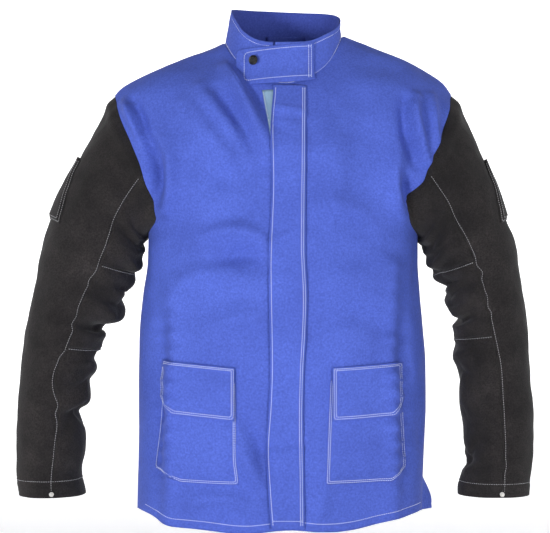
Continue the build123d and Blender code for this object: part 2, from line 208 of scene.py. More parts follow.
# ---- the body's form -------------------------------------------------------------------------
# Half width by height on each side; above the underarm it includes the top of the arm, which
# the armhole seam cuts away, and above that it is the shoulder line.
ARM_TOP = [(-274, 214), (-235, 241), (-200, 272), (-150, 297), (-100, 296)]
HALF_WIDTH = {
    -1: smooth([(-760, 233), (-690, 231), (-600, 229), (-500, 228.5), (-430, 227), (-370, 221),
                (-320, 214.5)]
               + ARM_TOP
               + [(-57, 268), (-47, 259), (-32.5, 236), (-15, 199), (7, 145), (29, 93), (50, 40)]),
    1: smooth([(-760, 219), (-690, 220), (-640, 222), (-545, 226), (-480, 225.5), (-430, 222),
               (-370, 217), (-320, 214)]
              + ARM_TOP
              + [(-55, 268), (-39, 257), (-18, 228), (0, 196), (14, 161), (27, 128), (41, 94),
                 (60, 40)]),
}
FRONT_Y = smooth([(-760, -141), (-600, -145), (-430, -147), (-320, -142), (-274, -138), (-200, -129),
                  (-150, -120), (-100, -107), (-56, -90), (-12, -58), (31, -30), (60, -10)])
BACK_Y = smooth([(-760, 133), (-600, 137), (-430, 139), (-320, 139), (-200, 134), (-150, 129), (-100, 121),
                 (-56, 110), (-12, 98), (31, 84), (60, 74)])


def form_axes(x, z):
    half_width = np.where(x < 0, HALF_WIDTH[-1](z), HALF_WIDTH[1](z))
    front = FRONT_Y(z)
    back = BACK_Y(z)
    return half_width, (front + back) / 2, (back - front) / 2


def form_point(x, z, facing):
    """Point on the body's form and its outward direction; facing is -1 in front, 1 behind."""
    half_width, middle, depth = form_axes(x, z)
    run = np.clip(np.abs(x) / half_width, 0, 0.9999999)
    rise = (1 - run ** SQUARENESS) ** (1 / SQUARENESS)
    y = middle + facing * depth * rise
    power = SQUARENESS - 1
    nx = np.sign(x) * run ** power / half_width
    ny = facing * rise ** power / depth
    step = 2.0
    value = []
    for dz in (-step, step):
        w, m, d = form_axes(x, z + dz)
        value.append((np.abs(x) / w) ** SQUARENESS + (np.abs(y - m) / d) ** SQUARENESS)
    nz = (value[1] - value[0]) / (2 * step) / SQUARENESS
    normal = np.stack([nx, ny, nz], axis=-1)
    normal /= np.linalg.norm(normal, axis=-1, keepdims=True)
    return np.stack([x, y, z], axis=-1), normal


# ---- folds -----------------------------------------------------------------------------------
FOLD_GAIN = 3.1             # all the heights below are multiplied by this
# Each fold: start (x, z), middle, end, height, width.  A negative height is a hollow.
FRONT_FOLDS = [
    ((-84, -22), (-56, -80), (-22, -158), 6.5, 12),
    ((-70, -20), (-38, -78), (-10, -120), -4.0, 10),
    ((-128, -58), (-92, -100), (-44, -160), 5.0, 14),
    ((-150, -80), (-112, -128), (-70, -190), 3.5, 15),
    ((-104, -62), (-74, -104), (-34, -178), -4.0, 12),
    ((-246, -76), (-236, -96), (-214, -146), 6.0, 9),
    ((-236, -72), (-222, -104), (-206, -150), -5.0, 9),
    ((-202, -150), (-190, -190), (-196, -228), -7.0, 13),
    ((-182, -140), (-172, -190), (-180, -240), 5.0, 13),
    ((204, -70), (202, -112), (222, -168), 6.5, 10),
    ((188, -74), (190, -124), (206, -176), -5.0, 10),
    ((232, -64), (232, -112), (238, -150), 4.0, 8),
    ((186, -190), (192, -214), (196, -240), -6.0, 10),
    ((176, -150), (172, -200), (182, -250), 4.0, 13),
    ((-24, -296), (-70, -274), (-124, -290), 3.6, 12),
    ((-20, -330), (-62, -312), (-110, -330), -3.2, 12),
    ((-150, -350), (-90, -338), (-36, -362), 3.0, 14),
    ((-34, -204), (-66, -190), (-120, -214), -2.4, 16),
    ((34, -250), (84, -240), (140, -262), 2.4, 16),
    ((44, -420), (96, -404), (150, -424), -2.4, 16),
    ((-24, -420), (-70, -408), (-120, -430), 2.4, 18),
    ((-170, -380), (-168, -560), (-176, -712), 3.4, 13),
    ((-190, -400), (-190, -560), (-196, -712), -3.6, 14),
    ((166, -330), (164, -520), (168, -700), 3.2, 13),
    ((184, -360), (182, -540), (186, -700), -3.0, 13),
    ((-66, -600), (-48, -630), (-34, -676), 3.6, 11),
    ((-140, -690), (-90, -676), (-36, -694), 3.6, 11),
    ((-58, -560), (-36, -600), (-26, -640), -3.4, 9),
    ((48, -600), (60, -650), (50, -712), 2.6, 16),
    ((60, -110), (80, -170), (70, -260), 2.2, 22),
    ((110, -60), (120, -120), (110, -200), -2.0, 24),
    ((40, -330), (100, -350), (160, -330), 1.8, 20),
]
BACK_FOLDS = [
    ((-190, -80), (-150, -130), (-90, -170), 4.0, 16),
    ((190, -80), (150, -130), (90, -170), 4.0, 16),
    ((-200, -140), (-180, -200), (-186, -260), -6.0, 15),
    ((200, -140), (180, -200), (186, -260), -6.0, 15),
    ((-120, -160), (0, -190), (120, -160), 3.0, 22),
    ((-110, -300), (-90, -480), (-110, -700), 3.5, 24),
    ((100, -320), (80, -500), (96, -700), 3.5, 24),
    ((-30, -330), (-14, -520), (-20, -710), -2.6, 26),
    ((-180, -420), (-60, -400), (60, -430), 2.4, 20),
    ((-190, -380), (-180, -540), (-190, -700), 3.0, 15),
    ((190, -380), (182, -540), (190, -700), 3.0, 15),
]


def fold_height(x, z, folds):
    """Sum of the folds at each point of a panel."""
    total = np.zeros_like(x)
    for start, middle, end, height, width in folds:
        height *= FOLD_GAIN
        nearest = np.full_like(x, 1e9)
        along = np.zeros_like(x)
        steps = 14
        for i in range(steps + 1):
            t = i / steps
            weights = ((1 - t) ** 2, 2 * t * (1 - t), t * t)
            control = [2 * middle[k] - (start[k] + end[k]) / 2 for k in (0, 1)]
            px = weights[0] * start[0] + weights[1] * control[0] + weights[2] * end[0]
            pz = weights[0] * start[1] + weights[1] * control[1] + weights[2] * end[1]
            gap = np.hypot(x - px, z - pz)
            closer = gap < nearest
            along = np.where(closer, t, along)
            nearest = np.minimum(nearest, gap)
        taper = 0.25 + 0.75 * np.sin(np.pi * np.clip(along, 0.04, 0.96)) ** 0.7
        total += height * taper * bump(nearest, width)
    return total


def cloth_rumple(points, strength, seed):
    """Soft unevenness of worn cloth."""
    broad = soft_noise(points * np.array([1, 1, 0.6]), 88, seed)
    medium = soft_noise(points * np.array([0.8, 1, 1]), 40, seed + 1)
    small = soft_noise(points * np.array([1, 1, 0.8]), 17, seed + 2)
    return strength * (8.5 * broad + 3.6 * medium + 0.8 * small)


def body_rise(points, facing):
    """How far the body's cloth stands off its form."""
    x = points[..., 0]
    z = points[..., 2]
    folds = FRONT_FOLDS if facing < 0 else BACK_FOLDS
    low_hem = bump(z - (HEM_Z + 12), 2.2) * -0.7 + ease((HEM_Z + 13 - z) / 3) * 0.9
    from_ridge = 1 - np.abs(x) / form_axes(x, z)[0]
    fade = 0.1 + 0.9 * ease(from_ridge / 0.06)
    from_neck = np.hypot(x / NECK_HALF_WIDTH, points[..., 1] / NECK_HALF_DEPTH) - 1
    fade = fade * (0.15 + 0.85 * ease(from_neck / 0.22))
    return fold_height(x, z, folds) * fade + cloth_rumple(points, 0.8, 3) * fade + low_hem


# ---- meshes ----------------------------------------------------------------------------------
def link_mesh(name, vertices, faces, material):
    mesh = bpy.data.meshes.new(name)
    mesh.from_pydata([tuple(v * MM for v in p) for p in vertices], [], faces)
    mesh.validate()
    mesh.materials.append(material)
    for polygon in mesh.polygons:
        polygon.use_smooth = True
    piece = bpy.data.objects.new(name, mesh)
    bpy.context.scene.collection.objects.link(piece)
    return piece


def grid_faces(rows, columns, wrap=False):
    faces = []
    for i in range(rows - 1):
        for j in range(columns if wrap else columns - 1):
            k = (j + 1) % columns
            faces.append((i * columns + j, i * columns + k, (i + 1) * columns + k, (i + 1) * columns + j))
    return faces


def thicken(piece, thickness):
    """Gives a sheet its thickness, inwards from the modelled face."""
    modifier = piece.modifiers.new("thickness", "SOLIDIFY")
    modifier.thickness = thickness * MM
    modifier.offset = -1
    modifier.use_even_offset = False


def cloth_grid(name, points, normals, material, thickness):
    """A sheet through a grid of points; its faces are turned to look along the normals."""
    rows, columns = points.shape[:2]
    faces = grid_faces(rows, columns)
    i, j = rows // 2, columns // 2
    across = points[i, j + 1] - points[i, j]
    along = points[i + 1, j] - points[i, j]
    if np.dot(np.cross(across, along), normals[i, j]) < 0:
        faces = [tuple(reversed(f)) for f in faces]
    piece = link_mesh(name, points.reshape(-1, 3), faces, material)
    thicken(piece, thickness)
    return piece


def cloth_piece(name, node, points, normals, material, thickness):
    """A sheet that is shown in place of one of the frame's nodes."""
    piece = cloth_grid(name, points, normals, material, thickness)
    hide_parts(node)
    return piece


def surface_tree(*pieces):
    """A search tree of pieces as shown, in millimetres."""
    vertices = []
    polygons = []
    graph = bpy.context.evaluated_depsgraph_get()
    for piece in pieces:
        shown = piece.evaluated_get(graph)
        mesh = shown.to_mesh()
        start = len(vertices)
        vertices += [v.co / MM for v in mesh.vertices]
        polygons += [[start + i for i in p.vertices] for p in mesh.polygons]
        shown.to_mesh_clear()
    return BVHTree.FromPolygons(vertices, polygons)


def resample(points, pitch):
    """Points evenly spaced along a polyline."""
    points = [Vector(p) for p in points]
    lengths = [0.0]
    for a, b in zip(points, points[1:]):
        lengths.append(lengths[-1] + (b - a).length)
    total = lengths[-1]
    count = max(int(total / pitch), 1)
    out = []
    k = 0
    for i in range(count + 1):
        target = total * i / count
        while k < len(points) - 2 and lengths[k + 1] < target:
            k += 1
        span = lengths[k + 1] - lengths[k]
        share = (target - lengths[k]) / span if span > 1e-9 else 0
        out.append(points[k].lerp(points[k + 1], share))
    return out


def stitch_mesh(name, runs, material):
    """Short threads along runs of (point, normal), as one mesh."""
    vertices = []
    faces = []
    sides = 5
    for run in runs:
        spots = resample([p for p, _ in run], STITCH_PITCH)
        points = [p for p, _ in run]
        for a, b in zip(spots, spots[1:]):
            middle = (a + b) / 2
            nearest = min(range(len(points)), key=lambda i: (points[i] - middle).length_squared)
            normal = run[nearest][1]
            along = (b - a).normalized()
            side = along.cross(normal).normalized()
            up = side.cross(along)
            half = STITCH_LENGTH / 2
            start = len(vertices)
            for share, girth, sink in ((-1, 0.25, -0.35), (-0.6, 1, 0), (0.6, 1, 0), (1, 0.25, -0.35)):
                centre = middle + along * half * share + up * (STITCH_LIFT + sink)
                for k in range(sides):
                    angle = 2 * math.pi * k / sides
                    around = side * math.cos(angle) + up * math.sin(angle) * 0.8
                    vertices.append(centre + around * STITCH_RADIUS * girth)
            for ring in range(3):
                for k in range(sides):
                    n = (k + 1) % sides
                    base = start + ring * sides
                    faces.append((base + k, base + n, base + sides + n, base + sides + k))
            faces.append(tuple(start + k for k in reversed(range(sides))))
            faces.append(tuple(start + 3 * sides + k for k in range(sides)))
    return link_mesh(name, vertices, faces, material)


def front_run(tree, corners, from_y=-400, direction=1):
    """A stitch run laid on the pieces along Y, through (x, z) corners."""
    flat = resample([(x, 0, z) for x, z in corners], RUN_PITCH)
    run = []
    for p in flat:
        hit, normal, _, _ = tree.ray_cast(Vector((p.x, from_y, p.z)), Vector((0, direction, 0)))
        if hit is not None:
            run.append((hit, normal))
    return run


def near_run(tree, points):
    """A stitch run laid on the nearest face to a line of points."""
    run = []
    for p in resample(points, RUN_PITCH):
        hit, normal, _, _ = tree.find_nearest(p)
        outward = p - hit
        if outward.length > 1e-6 and outward.dot(normal) < 0:
            normal = -normal
        run.append((hit, normal))
    return run


# ---- materials -------------------------------------------------------------------------------
class Nodes:
    """A small helper for making a material's nodes."""

    def __init__(self, name):
        self.material = bpy.data.materials.new(name)
        self.material.use_nodes = True
        self.tree = self.material.node_tree
        self.shader = self.tree.nodes["Principled BSDF"]
        self.place = self.tree.nodes.new("ShaderNodeTexCoord").outputs["Object"]

    def add(self, kind, values=None, **links):
        node = self.tree.nodes.new(kind)
        for key, value in (values or {}).items():
            if key in node.inputs:
                node.inputs[key].default_value = value
            else:
                setattr(node, key, value)
        for key, socket in links.items():
            self.tree.links.new(socket, node.inputs[key])
        return node

    def link(self, socket, name):
        self.tree.links.new(socket, self.shader.inputs[name])

    def noise(self, scale, detail=3.0, roughness=0.5):
        values = {"Scale": scale, "Detail": detail, "Roughness": roughness}
        return self.add("ShaderNodeTexNoise", values, Vector=self.place).outputs["Fac"]

    def ramp(self, socket, low, high, low_at=0.3, high_at=0.7):
        node = self.add("ShaderNodeValToRGB", None, Fac=socket)
        node.color_ramp.elements[0].position = low_at
        node.color_ramp.elements[0].color = (*low, 1)
        node.color_ramp.elements[1].position = high_at
        node.color_ramp.elements[1].color = (*high, 1)
        return node.outputs["Color"]

    def turned(self, angles, scale):
        values = {"Rotation": tuple(math.radians(a) for a in angles), "Scale": scale}
        return self.add("ShaderNodeMapping", values, Vector=self.place).outputs["Vector"]

    def mix(self, kind, factor, first, second):
        node = self.add("ShaderNodeMix", {"data_type": "RGBA", "blend_type": kind})
        node.inputs["Factor"].default_value = factor
        self.tree.links.new(first, node.inputs["A"])
        self.tree.links.new(second, node.inputs["B"])
        return node.outputs["Result"]

    def bump(self, height, strength, distance, normal=None):
        node = self.add("ShaderNodeBump", {"Strength": strength, "Distance": distance}, Height=height)
        if normal is not None:
            self.tree.links.new(normal, node.inputs["Normal"])
        return node.outputs["Normal"]


def drill_cloth(name, dark, light, roughness=0.82, sheen=0.05):
    """Cotton twill: fine diagonal ribs, uneven dye and a soft nap."""
    n = Nodes(name)
    twill = {"Scale": 290.0, "Distortion": 0.6, "Detail": 1.5, "Detail Scale": 3.0, "bands_direction": "X"}
    ribs = n.add("ShaderNodeTexWave", twill, Vector=n.turned((0, 38, 0), (1, 1, 1))).outputs["Fac"]
    yarn = n.noise(2400, 2.0, 0.6)
    slub = n.noise(330, 4.0, 0.65)
    patches = n.noise(9, 3.0, 0.55)
    colour = n.ramp(patches, dark, light, 0.34, 0.68)
    fine = n.ramp(slub, (0.76, 0.77, 0.80), (1.22, 1.21, 1.17), 0.32, 0.68)
    ribbed = n.ramp(ribs, (0.9, 0.9, 0.92), (1.04, 1.04, 1.03), 0.2, 0.8)
    colour = n.mix("MULTIPLY", 1.0, colour, fine)
    colour = n.mix("MULTIPLY", 0.8, colour, ribbed)
    n.link(colour, "Base Color")
    normal = n.bump(slub, 0.10, 0.0012)
    normal = n.bump(yarn, 0.18, 0.0003, normal)
    normal = n.bump(ribs, 0.30, 0.0004, normal)
    n.link(normal, "Normal")
    n.shader.inputs["Roughness"].default_value = roughness
    n.shader.inputs["Sheen Weight"].default_value = sheen
    n.shader.inputs["Sheen Roughness"].default_value = 0.45
    n.shader.inputs["Sheen Tint"].default_value = (0.72, 0.78, 1.0, 1)
    n.shader.inputs["Specular IOR Level"].default_value = 0.25
    return n.material


def split_leather(name, dark, light):
    """Napped split leather: short fibres, cloudy shading and paler rubbed places."""
    n = Nodes(name)
    nap = n.noise(420, 6.0, 0.72)
    grain = n.noise(110, 5.0, 0.62)
    clouds = n.noise(14, 5.0, 0.62)
    rubbed = n.noise(38, 4.0, 0.6)
    colour = n.ramp(clouds, dark, light, 0.36, 0.72)
    spots = n.ramp(nap, (0.40, 0.40, 0.42), (2.0, 1.95, 1.9), 0.36, 0.68)
    wear = n.ramp(rubbed, (0.85, 0.85, 0.85), (1.25, 1.22, 1.20), 0.42, 0.75)
    colour = n.mix("MULTIPLY", 1.0, colour, spots)
    colour = n.mix("MULTIPLY", 0.8, colour, wear)
    n.link(colour, "Base Color")
    normal = n.bump(grain, 0.35, 0.0022)
    normal = n.bump(nap, 0.5, 0.0008, normal)
    n.link(normal, "Normal")
    n.shader.inputs["Roughness"].default_value = 0.88
    n.shader.inputs["Sheen Weight"].default_value = 0.07
    n.shader.inputs["Sheen Roughness"].default_value = 0.55
    n.shader.inputs["Specular IOR Level"].default_value = 0.2
    return n.material


def thread(name, dark, light):
    n = Nodes(name)
    twist = n.noise(900, 3.0, 0.6)
    n.link(n.ramp(twist, dark, light, 0.3, 0.7), "Base Color")
    n.link(n.bump(twist, 0.3, 0.0003), "Normal")
    n.shader.inputs["Roughness"].default_value = 0.6
    n.shader.inputs["Sheen Weight"].default_value = 0.2
    return n.material


def touch_tape(name, dark, light, bristle):
    """Hook or loop tape; bristle is how rough its face is."""
    n = Nodes(name)
    pile = n.noise(1300, 3.0, 0.7)
    weave = {"Scale": 320.0, "Distortion": 1.2, "Detail": 2.0, "bands_direction": "Z"}
    rows = n.add("ShaderNodeTexWave", weave, Vector=n.place).outputs["Fac"]
    n.link(n.ramp(pile, dark, light, 0.3, 0.7), "Base Color")
    n.link(n.bump(rows, 0.3, 0.0006, n.bump(pile, bristle, 0.0009)), "Normal")
    n.shader.inputs["Roughness"].default_value = 0.75
    return n.material


def metal(name, colour, metallic, roughness):
    n = Nodes(name)
    scuffs = n.noise(700, 4.0, 0.6)
    paler = tuple(min(c * 1.5 + 0.01, 1) for c in colour)
    n.link(n.ramp(scuffs, colour, paler, 0.45, 0.8), "Base Color")
    n.link(n.bump(scuffs, 0.05, 0.0002), "Normal")
    spread = {"To Min": roughness * 0.8, "To Max": roughness * 1.3}
    rough = n.add("ShaderNodeMapRange", spread, Value=scuffs)
    n.link(rough.outputs["Result"], "Roughness")
    n.shader.inputs["Metallic"].default_value = metallic
    return n.material


BLUE = drill_cloth("blue_drill", (0.055, 0.092, 0.420), (0.066, 0.110, 0.485))
# The same blue drill painted darker as shade, for the inside faces: the facings, the linings and the hang
# loop.
SHADED_INSIDE_BLUE = drill_cloth("blue_lining", (0.042, 0.066, 0.33), (0.052, 0.082, 0.39), 0.88, 0.03)
SUEDE = split_leather("black_suede", (0.0068, 0.0060, 0.0066), (0.0180, 0.0160, 0.0165))
WHITE_THREAD = thread("pale_thread", (0.58, 0.63, 0.74), (0.78, 0.82, 0.90))
GREY_THREAD = thread("grey_thread", (0.16, 0.16, 0.17), (0.40, 0.40, 0.42))
LOOP = touch_tape("loop_pile", (0.14, 0.24, 0.36), (0.24, 0.37, 0.50), 0.5)
HOOK = touch_tape("hook_face", (0.10, 0.16, 0.42), (0.16, 0.24, 0.52), 0.8)
ENAMEL = metal("black_enamel", (0.012, 0.012, 0.013), 0.3, 0.22)
PLATED = metal("plated_steel", (0.50, 0.49, 0.47), 1.0, 0.3)


# ---- how pieces are placed: the jacket body's are parented to it, the rest are baked in place ---
BODY = "jacket_body"


def ride_body(piece):
    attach(piece, BODY)


def ride_storm_flap(piece):
    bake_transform(piece)


def ride_throat_tab(piece):
    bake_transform(piece)


def ride_pocket_flap():
    return lambda piece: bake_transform(piece)


def ride_sleeve():
    return lambda piece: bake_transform(piece)


# ---- body panels -----------------------------------------------------------------------------
NECK_HALF_WIDTH = 93
NECK_HALF_DEPTH = 87
SHOULDER_TIP_Z = {-1: -57, 1: -55}
NECK_POINT_Z = {-1: 29, 1: 41}
UNDERARM_Z = -275

# Armhole seams from the underarm up to the shoulder tip, (distance from the middle, z)
FRONT_ARMHOLE = {
    -1: [(213.8, -275), (206, -268), (197, -256), (203, -232), (212, -202), (219, -180), (237, -138),
         (253, -104), (259, -88), (267.5, -57)],
    1: [(213.8, -275), (204, -268), (194, -255), (197, -230), (206, -212), (217, -198), (224, -176),
        (239, -140), (251, -108), (260, -84), (267.5, -55)],
}
BACK_ARMHOLE = [(213.8, -275), (208, -264), (206, -244), (214, -206), (230, -156), (250, -108), (267.5, -56)]


def neck_height(x, facing):
    """Height where the body's form crosses the upright neck oval at x."""
    x = np.asarray(x, float)
    wall = facing * NECK_HALF_DEPTH * np.sqrt(np.clip(1 - (x / NECK_HALF_WIDTH) ** 2, 0, 1))
    low = np.full_like(x, -120.0)
    high = np.where(x < 0, NECK_POINT_Z[-1], NECK_POINT_Z[1]) + 0.0 * x
    for _ in range(40):
        middle = (low + high) / 2
        points, _ = form_point(x, middle, facing)
        outside = facing * points[..., 1] > facing * wall
        low = np.where(outside, middle, low)
        high = np.where(outside, high, middle)
    return (low + high) / 2


def side_boundary(side, armhole, side_share):
    """Side seam and then armhole as (x, z), by share from the hem to the shoulder tip."""
    hole = path_2d(armhole)

    def at(t):
        t = np.asarray(t, float)
        z_side = HEM_Z + (UNDERARM_Z - HEM_Z) * np.clip(t / side_share, 0, 1)
        lower = np.stack([HALF_WIDTH[side](z_side) * NEARLY, z_side], axis=-1)
        upper = hole(np.clip((t - side_share) / (1 - side_share), 0, 1))
        out = np.where((t < side_share)[..., None], lower, upper)
        out[..., 0] = np.minimum(out[..., 0], HALF_WIDTH[side](out[..., 1]) * NEARLY) * side
        return out

    return at


def shoulder_run(side, t):
    """Shoulder seam from the neck point to the tip, which follows the form's ridge."""
    z = NECK_POINT_Z[side] + (SHOULDER_TIP_Z[side] - NECK_POINT_Z[side]) * t
    x = side * HALF_WIDTH[side](z) * NEARLY
    return np.stack([x, z], axis=-1)


def coons(left, right, bottom, top, u, v):
    """A plane grid between four borders given as arrays of (x, z), which share their corners."""
    left = left.copy()
    right = right.copy()
    left[0], left[-1], right[0], right[-1] = bottom[0], top[0], bottom[-1], top[-1]
    u = u[None, :, None]
    v = v[:, None, None]
    sides = (1 - u) * left[:, None] + u * right[:, None]
    ends = (1 - v) * bottom[None] + v * top[None]
    corners = (1 - u) * (1 - v) * bottom[0] + u * (1 - v) * bottom[-1]
    corners = corners + (1 - u) * v * top[0] + u * v * top[-1]
    return sides + ends - corners


def hem_line(x, facing):
    """The hem's height, a little uneven."""
    wave = 1.8 * np.sin(x / 47.0) + 1.2 * np.sin(x / 19.0 + 1)
    if facing < 0:
        lift = 17 * ease((x - 105) / 110) + 13 * ease((-x - 165) / 60)
    else:
        lift = 8 * ease((np.abs(x) - 120) / 90)
    dip = -4 * bump(x - 75, 50) - 3.5 * bump(x + 70, 60)
    return HEM_Z + wave + lift + dip


def level_hem(grid, facing):
    """Moves a panel's lower rows onto the hem line."""
    share = ((grid[..., 1] - HEM_Z) / 90).clip(0, 1)
    grid[..., 1] += (1 - share) * (hem_line(grid[..., 0], facing) - HEM_Z)


def place_on_form(grid, facing, offset=0.0):
    """A plane grid of (x, z) laid on the folded body, and its outward directions."""
    points, normals = form_point(grid[..., 0], grid[..., 1], facing)
    height = offset + body_rise(points, facing)
    return points + normals * height[..., None], normals


ROWS = 190
SIDE_SHARE = 0.60           # share of a panel's outer border that is side seam
HEM_FLARE = 24              # how far the back hem's corner stands out


def top_spacing(count):
    """Row shares that close up towards the shoulder's round ridge."""
    t = np.linspace(0, 1, count)
    return 1 - (1 - t) ** 1.5


def front_grid(side, columns=80):
    """Front panel as (x, z): from the front edge out to the side seam and armhole."""
    edge_x = FRONT_EDGE_X
    v = top_spacing(ROWS)
    u = np.sin(np.pi / 2 * np.linspace(0, 1, columns))
    border = side_boundary(side, FRONT_ARMHOLE[side], SIDE_SHARE)(v)
    neck_low = float(neck_height(edge_x, -1))
    edge = np.stack([np.full_like(v, edge_x), HEM_Z + (neck_low - HEM_Z) * v], axis=-1)
    neck_share = 0.36
    angle_low = math.asin(edge_x * side / NECK_HALF_WIDTH)
    angle_high = math.radians(88)
    angle = angle_low + (angle_high - angle_low) * np.clip(u / neck_share, 0, 1)
    neck_x = side * NECK_HALF_WIDTH * np.sin(angle)
    neck = np.stack([neck_x, neck_height(neck_x, -1)], axis=-1)
    shoulder = shoulder_run(side, np.clip((u - neck_share) / (1 - neck_share), 0, 1))
    top = np.where((u < neck_share)[:, None], neck, shoulder)
    bottom = np.stack([edge_x + (border[0, 0] - edge_x) * u, np.full_like(u, HEM_Z)], axis=-1)
    grid = coons(edge, border, bottom, top, u, v)
    level_hem(grid, -1)
    return grid


def back_grid(columns=150):
    """Back panel as (x, z), from the wearer's right side seam to the left."""
    v = top_spacing(ROWS)
    u = (1 - np.cos(np.pi * np.linspace(0, 1, columns))) / 2
    left = side_boundary(-1, BACK_ARMHOLE, SIDE_SHARE)(v)
    right = side_boundary(1, BACK_ARMHOLE, SIDE_SHARE)(v)
    edge_share = 0.27
    along = (u - edge_share) / (1 - 2 * edge_share)
    angle = np.radians(88) * (2 * np.clip(along, 0, 1) - 1)
    neck_x = NECK_HALF_WIDTH * np.sin(angle)
    neck = np.stack([neck_x, neck_height(neck_x, 1)], axis=-1)
    first = shoulder_run(-1, np.clip(1 - u / edge_share, 0, 1))
    last = shoulder_run(1, np.clip((u - 1 + edge_share) / edge_share, 0, 1))
    top = np.where((u < edge_share)[:, None], first, neck)
    top = np.where((u > 1 - edge_share)[:, None], last, top)
    bottom = np.stack([left[0, 0] + (right[0, 0] - left[0, 0]) * u, np.full_like(u, HEM_Z)], axis=-1)
    grid = coons(left, right, bottom, top, u, v)
    level_hem(grid, 1)
    return grid


def make_fronts():
    pieces = {}
    for side, name in SIDE_NAMES.items():
        points, normals = place_on_form(front_grid(side), -1)
        piece = cloth_piece(name + "_front_panel_cloth", name + "_front_panel", points, normals, BLUE, CLOTH)
        pieces[side] = piece
    return pieces


def make_back():
    points, normals = place_on_form(back_grid(), 1)
    x, y, z = np.moveaxis(points, -1, 0)
    flare = ease((x - 150) / 60) * ease((-640 - z) / 70) * ease((y - 4) / 30)
    points[..., 0] += HEM_FLARE * flare
    piece = cloth_piece("back_panel_cloth", "back_panel", points, normals, BLUE, CLOTH)
    return piece


def facing_grid(side, width=48):
    """The inside facing's (x, z), along the front edge from the hem to the neck."""
    v = np.linspace(0.006, 0.985, 150)
    x = FRONT_EDGE_X + side * np.linspace(0.6, width, 10)
    top = neck_height(x, -1)
    z = HEM_Z + (top[None] - HEM_Z) * v[:, None]
    return np.stack([np.broadcast_to(x, z.shape), z], axis=-1)


def make_facings():
    pieces = []
    for side, name in SIDE_NAMES.items():
        points, normals = place_on_form(facing_grid(side), -1, offset=-CLOTH - 0.5)
        node = name + "_front_facing"
        piece = cloth_piece(node + "_cloth", node, points, normals, SHADED_INSIDE_BLUE, 1.0)
        pieces.append(piece)
    return pieces


# ---- storm flap and tapes --------------------------------------------------------------------
FLY_LEFT = smooth([(-730, -18), (-680, -22), (-600, -26), (-540, -22), (-480, -20), (-330, -22), (-200, -18),
                   (-120, -19.5), (-60, -15)])
FLY_RIGHT = smooth([(-730, 32), (-640, 31), (-560, 30), (-500, 31), (-380, 36), (-300, 33), (-200, 34),
                    (-120, 35), (-60, 36)])
FLY_TOP = -53
TAPE_LOW = -700


def strip_points(left, right, low, high, offset, rows, columns, ripple=0.0, seed=5):
    """A strip standing off the fronts; left and right are functions of z."""
    z = np.linspace(low, high, rows)[:, None] + np.zeros((1, columns))
    u = np.linspace(0, 1, columns)[None]
    x = left(z) * (1 - u) + right(z) * u
    points, normals = place_on_form(np.stack([x, z], axis=-1), -1, offset)
    if ripple:
        lumps = soft_noise(points * np.array([0.6, 1, 1]), 34, seed)
        free = 1 - ease(u)
        points = points + normals * (ripple * (0.5 + 0.9 * free) * (0.8 + lumps))[..., None]
    return points, normals


def flap_creases(z, u):
    """Creases across the storm flap."""
    lines = [(-608, 2.6, 5, 10), (-596, -2.0, 5, 8), (-90, 2.0, 5, -10), (-104, -1.8, 6, -6),
             (-282, 1.8, 7, 16), (-430, 1.3, 9, -12), (-505, -1.3, 9, 8), (-690, 1.4, 7, -8),
             (-190, 1.5, 8, 14)]
    total = np.zeros_like(z)
    for height_z, rise, width, tilt in lines:
        total += rise * bump(z - height_z - tilt * (u - 0.5), width)
    return total


def make_storm_flap():
    rows = 240
    columns = 24
    points, normals = strip_points(FLY_LEFT, FLY_RIGHT, HEM_Z + 3, FLY_TOP, 3.7, rows, columns, 0.9)
    u, _ = unit_grid(rows, columns)
    z = points[..., 2]
    puff = 1.5 * np.sin(np.pi * u) ** 0.5
    sewn = -1.6 * ease((u - 0.86) / 0.14)
    under_tab = ease((z + 80) / 24)
    stand = (puff + flap_creases(z, u)) * (1 - under_tab) + sewn - 0.8 * under_tab
    points = points + normals * stand[..., None]
    outer = cloth_piece("front_fly_cloth", "front_fly", points, normals, BLUE, CLOTH)
    inner_points = points - normals * (CLOTH + 0.35)
    inside = (slice(3, -3), slice(1, -1))
    lining = cloth_piece("fly_lining_cloth", "fly_lining", inner_points[inside], normals[inside], SHADED_INSIDE_BLUE, 0.8)
    return outer, lining


def make_tape(name, node, left, right, top, stand, material, thickness):
    points, normals = strip_points(left, right, TAPE_LOW, top, stand, 150, 6)
    return cloth_piece(name, node, points, normals, material, thickness)


def make_tapes():
    """Loop tape on the right front edge, which widens at the top, and hook tape under the storm flap."""
    left = smooth([(-705, -9), (-230, -9), (-130, -20), (-58, -33)])
    right = smooth([(-705, 11), (-230, 11), (-58, 0)])
    loop = make_tape("loop_tape_strip", "loop_tape", left, right, -60, 1.3, LOOP, 1.0)
    left = smooth([(-705, -9), (-78, -9)])
    right = smooth([(-705, 11), (-78, 11)])
    hook = make_tape("hook_tape_strip", "hook_tape", left, right, -78, 2.5, HOOK, 0.8)
    return loop, hook


# ---- collar ----------------------------------------------------------------------------------
COLLAR_SPLIT_X = -17
COLLAR_ROWS = 26
COLLAR_COLUMNS = 190
COLLAR_ROLL = 1.4           # height of its unevenness
# Upper edge's height by y on each side, and the neck seam's height from the front's middle to the side.
COLLAR_TOP = {
    -1: smooth([(-90, 13), (-80, 15.5), (-58, 34), (-38, 56), (-10, 76), (40, 86), (100, 92)]),
    1: smooth([(-90, 14), (-80, 16), (-58, 31), (-30, 47), (-5, 60), (40, 78), (100, 92)]),
}
COLLAR_FOOT = smooth([(0, -62), (0.5, -48), (0.8, -16), (1, 20)])


def collar_point(angle, z, inward=0.0):
    """Point on the collar's leaning cone; angle 0 is the front and grows to the wearer's left."""
    foot = COLLAR_FOOT(np.abs(np.sin(angle)) + 0 * z)
    share = np.clip((z - foot) / (104 - foot), -0.05, 1.1)
    half_width = 93 - 9 * share - inward
    half_depth = 87 - 7 * share - inward
    x = 7 * share + half_width * np.sin(angle)
    y = 3 * share - half_depth * np.cos(angle)
    return np.stack([x, y, z + 0 * x], axis=-1)


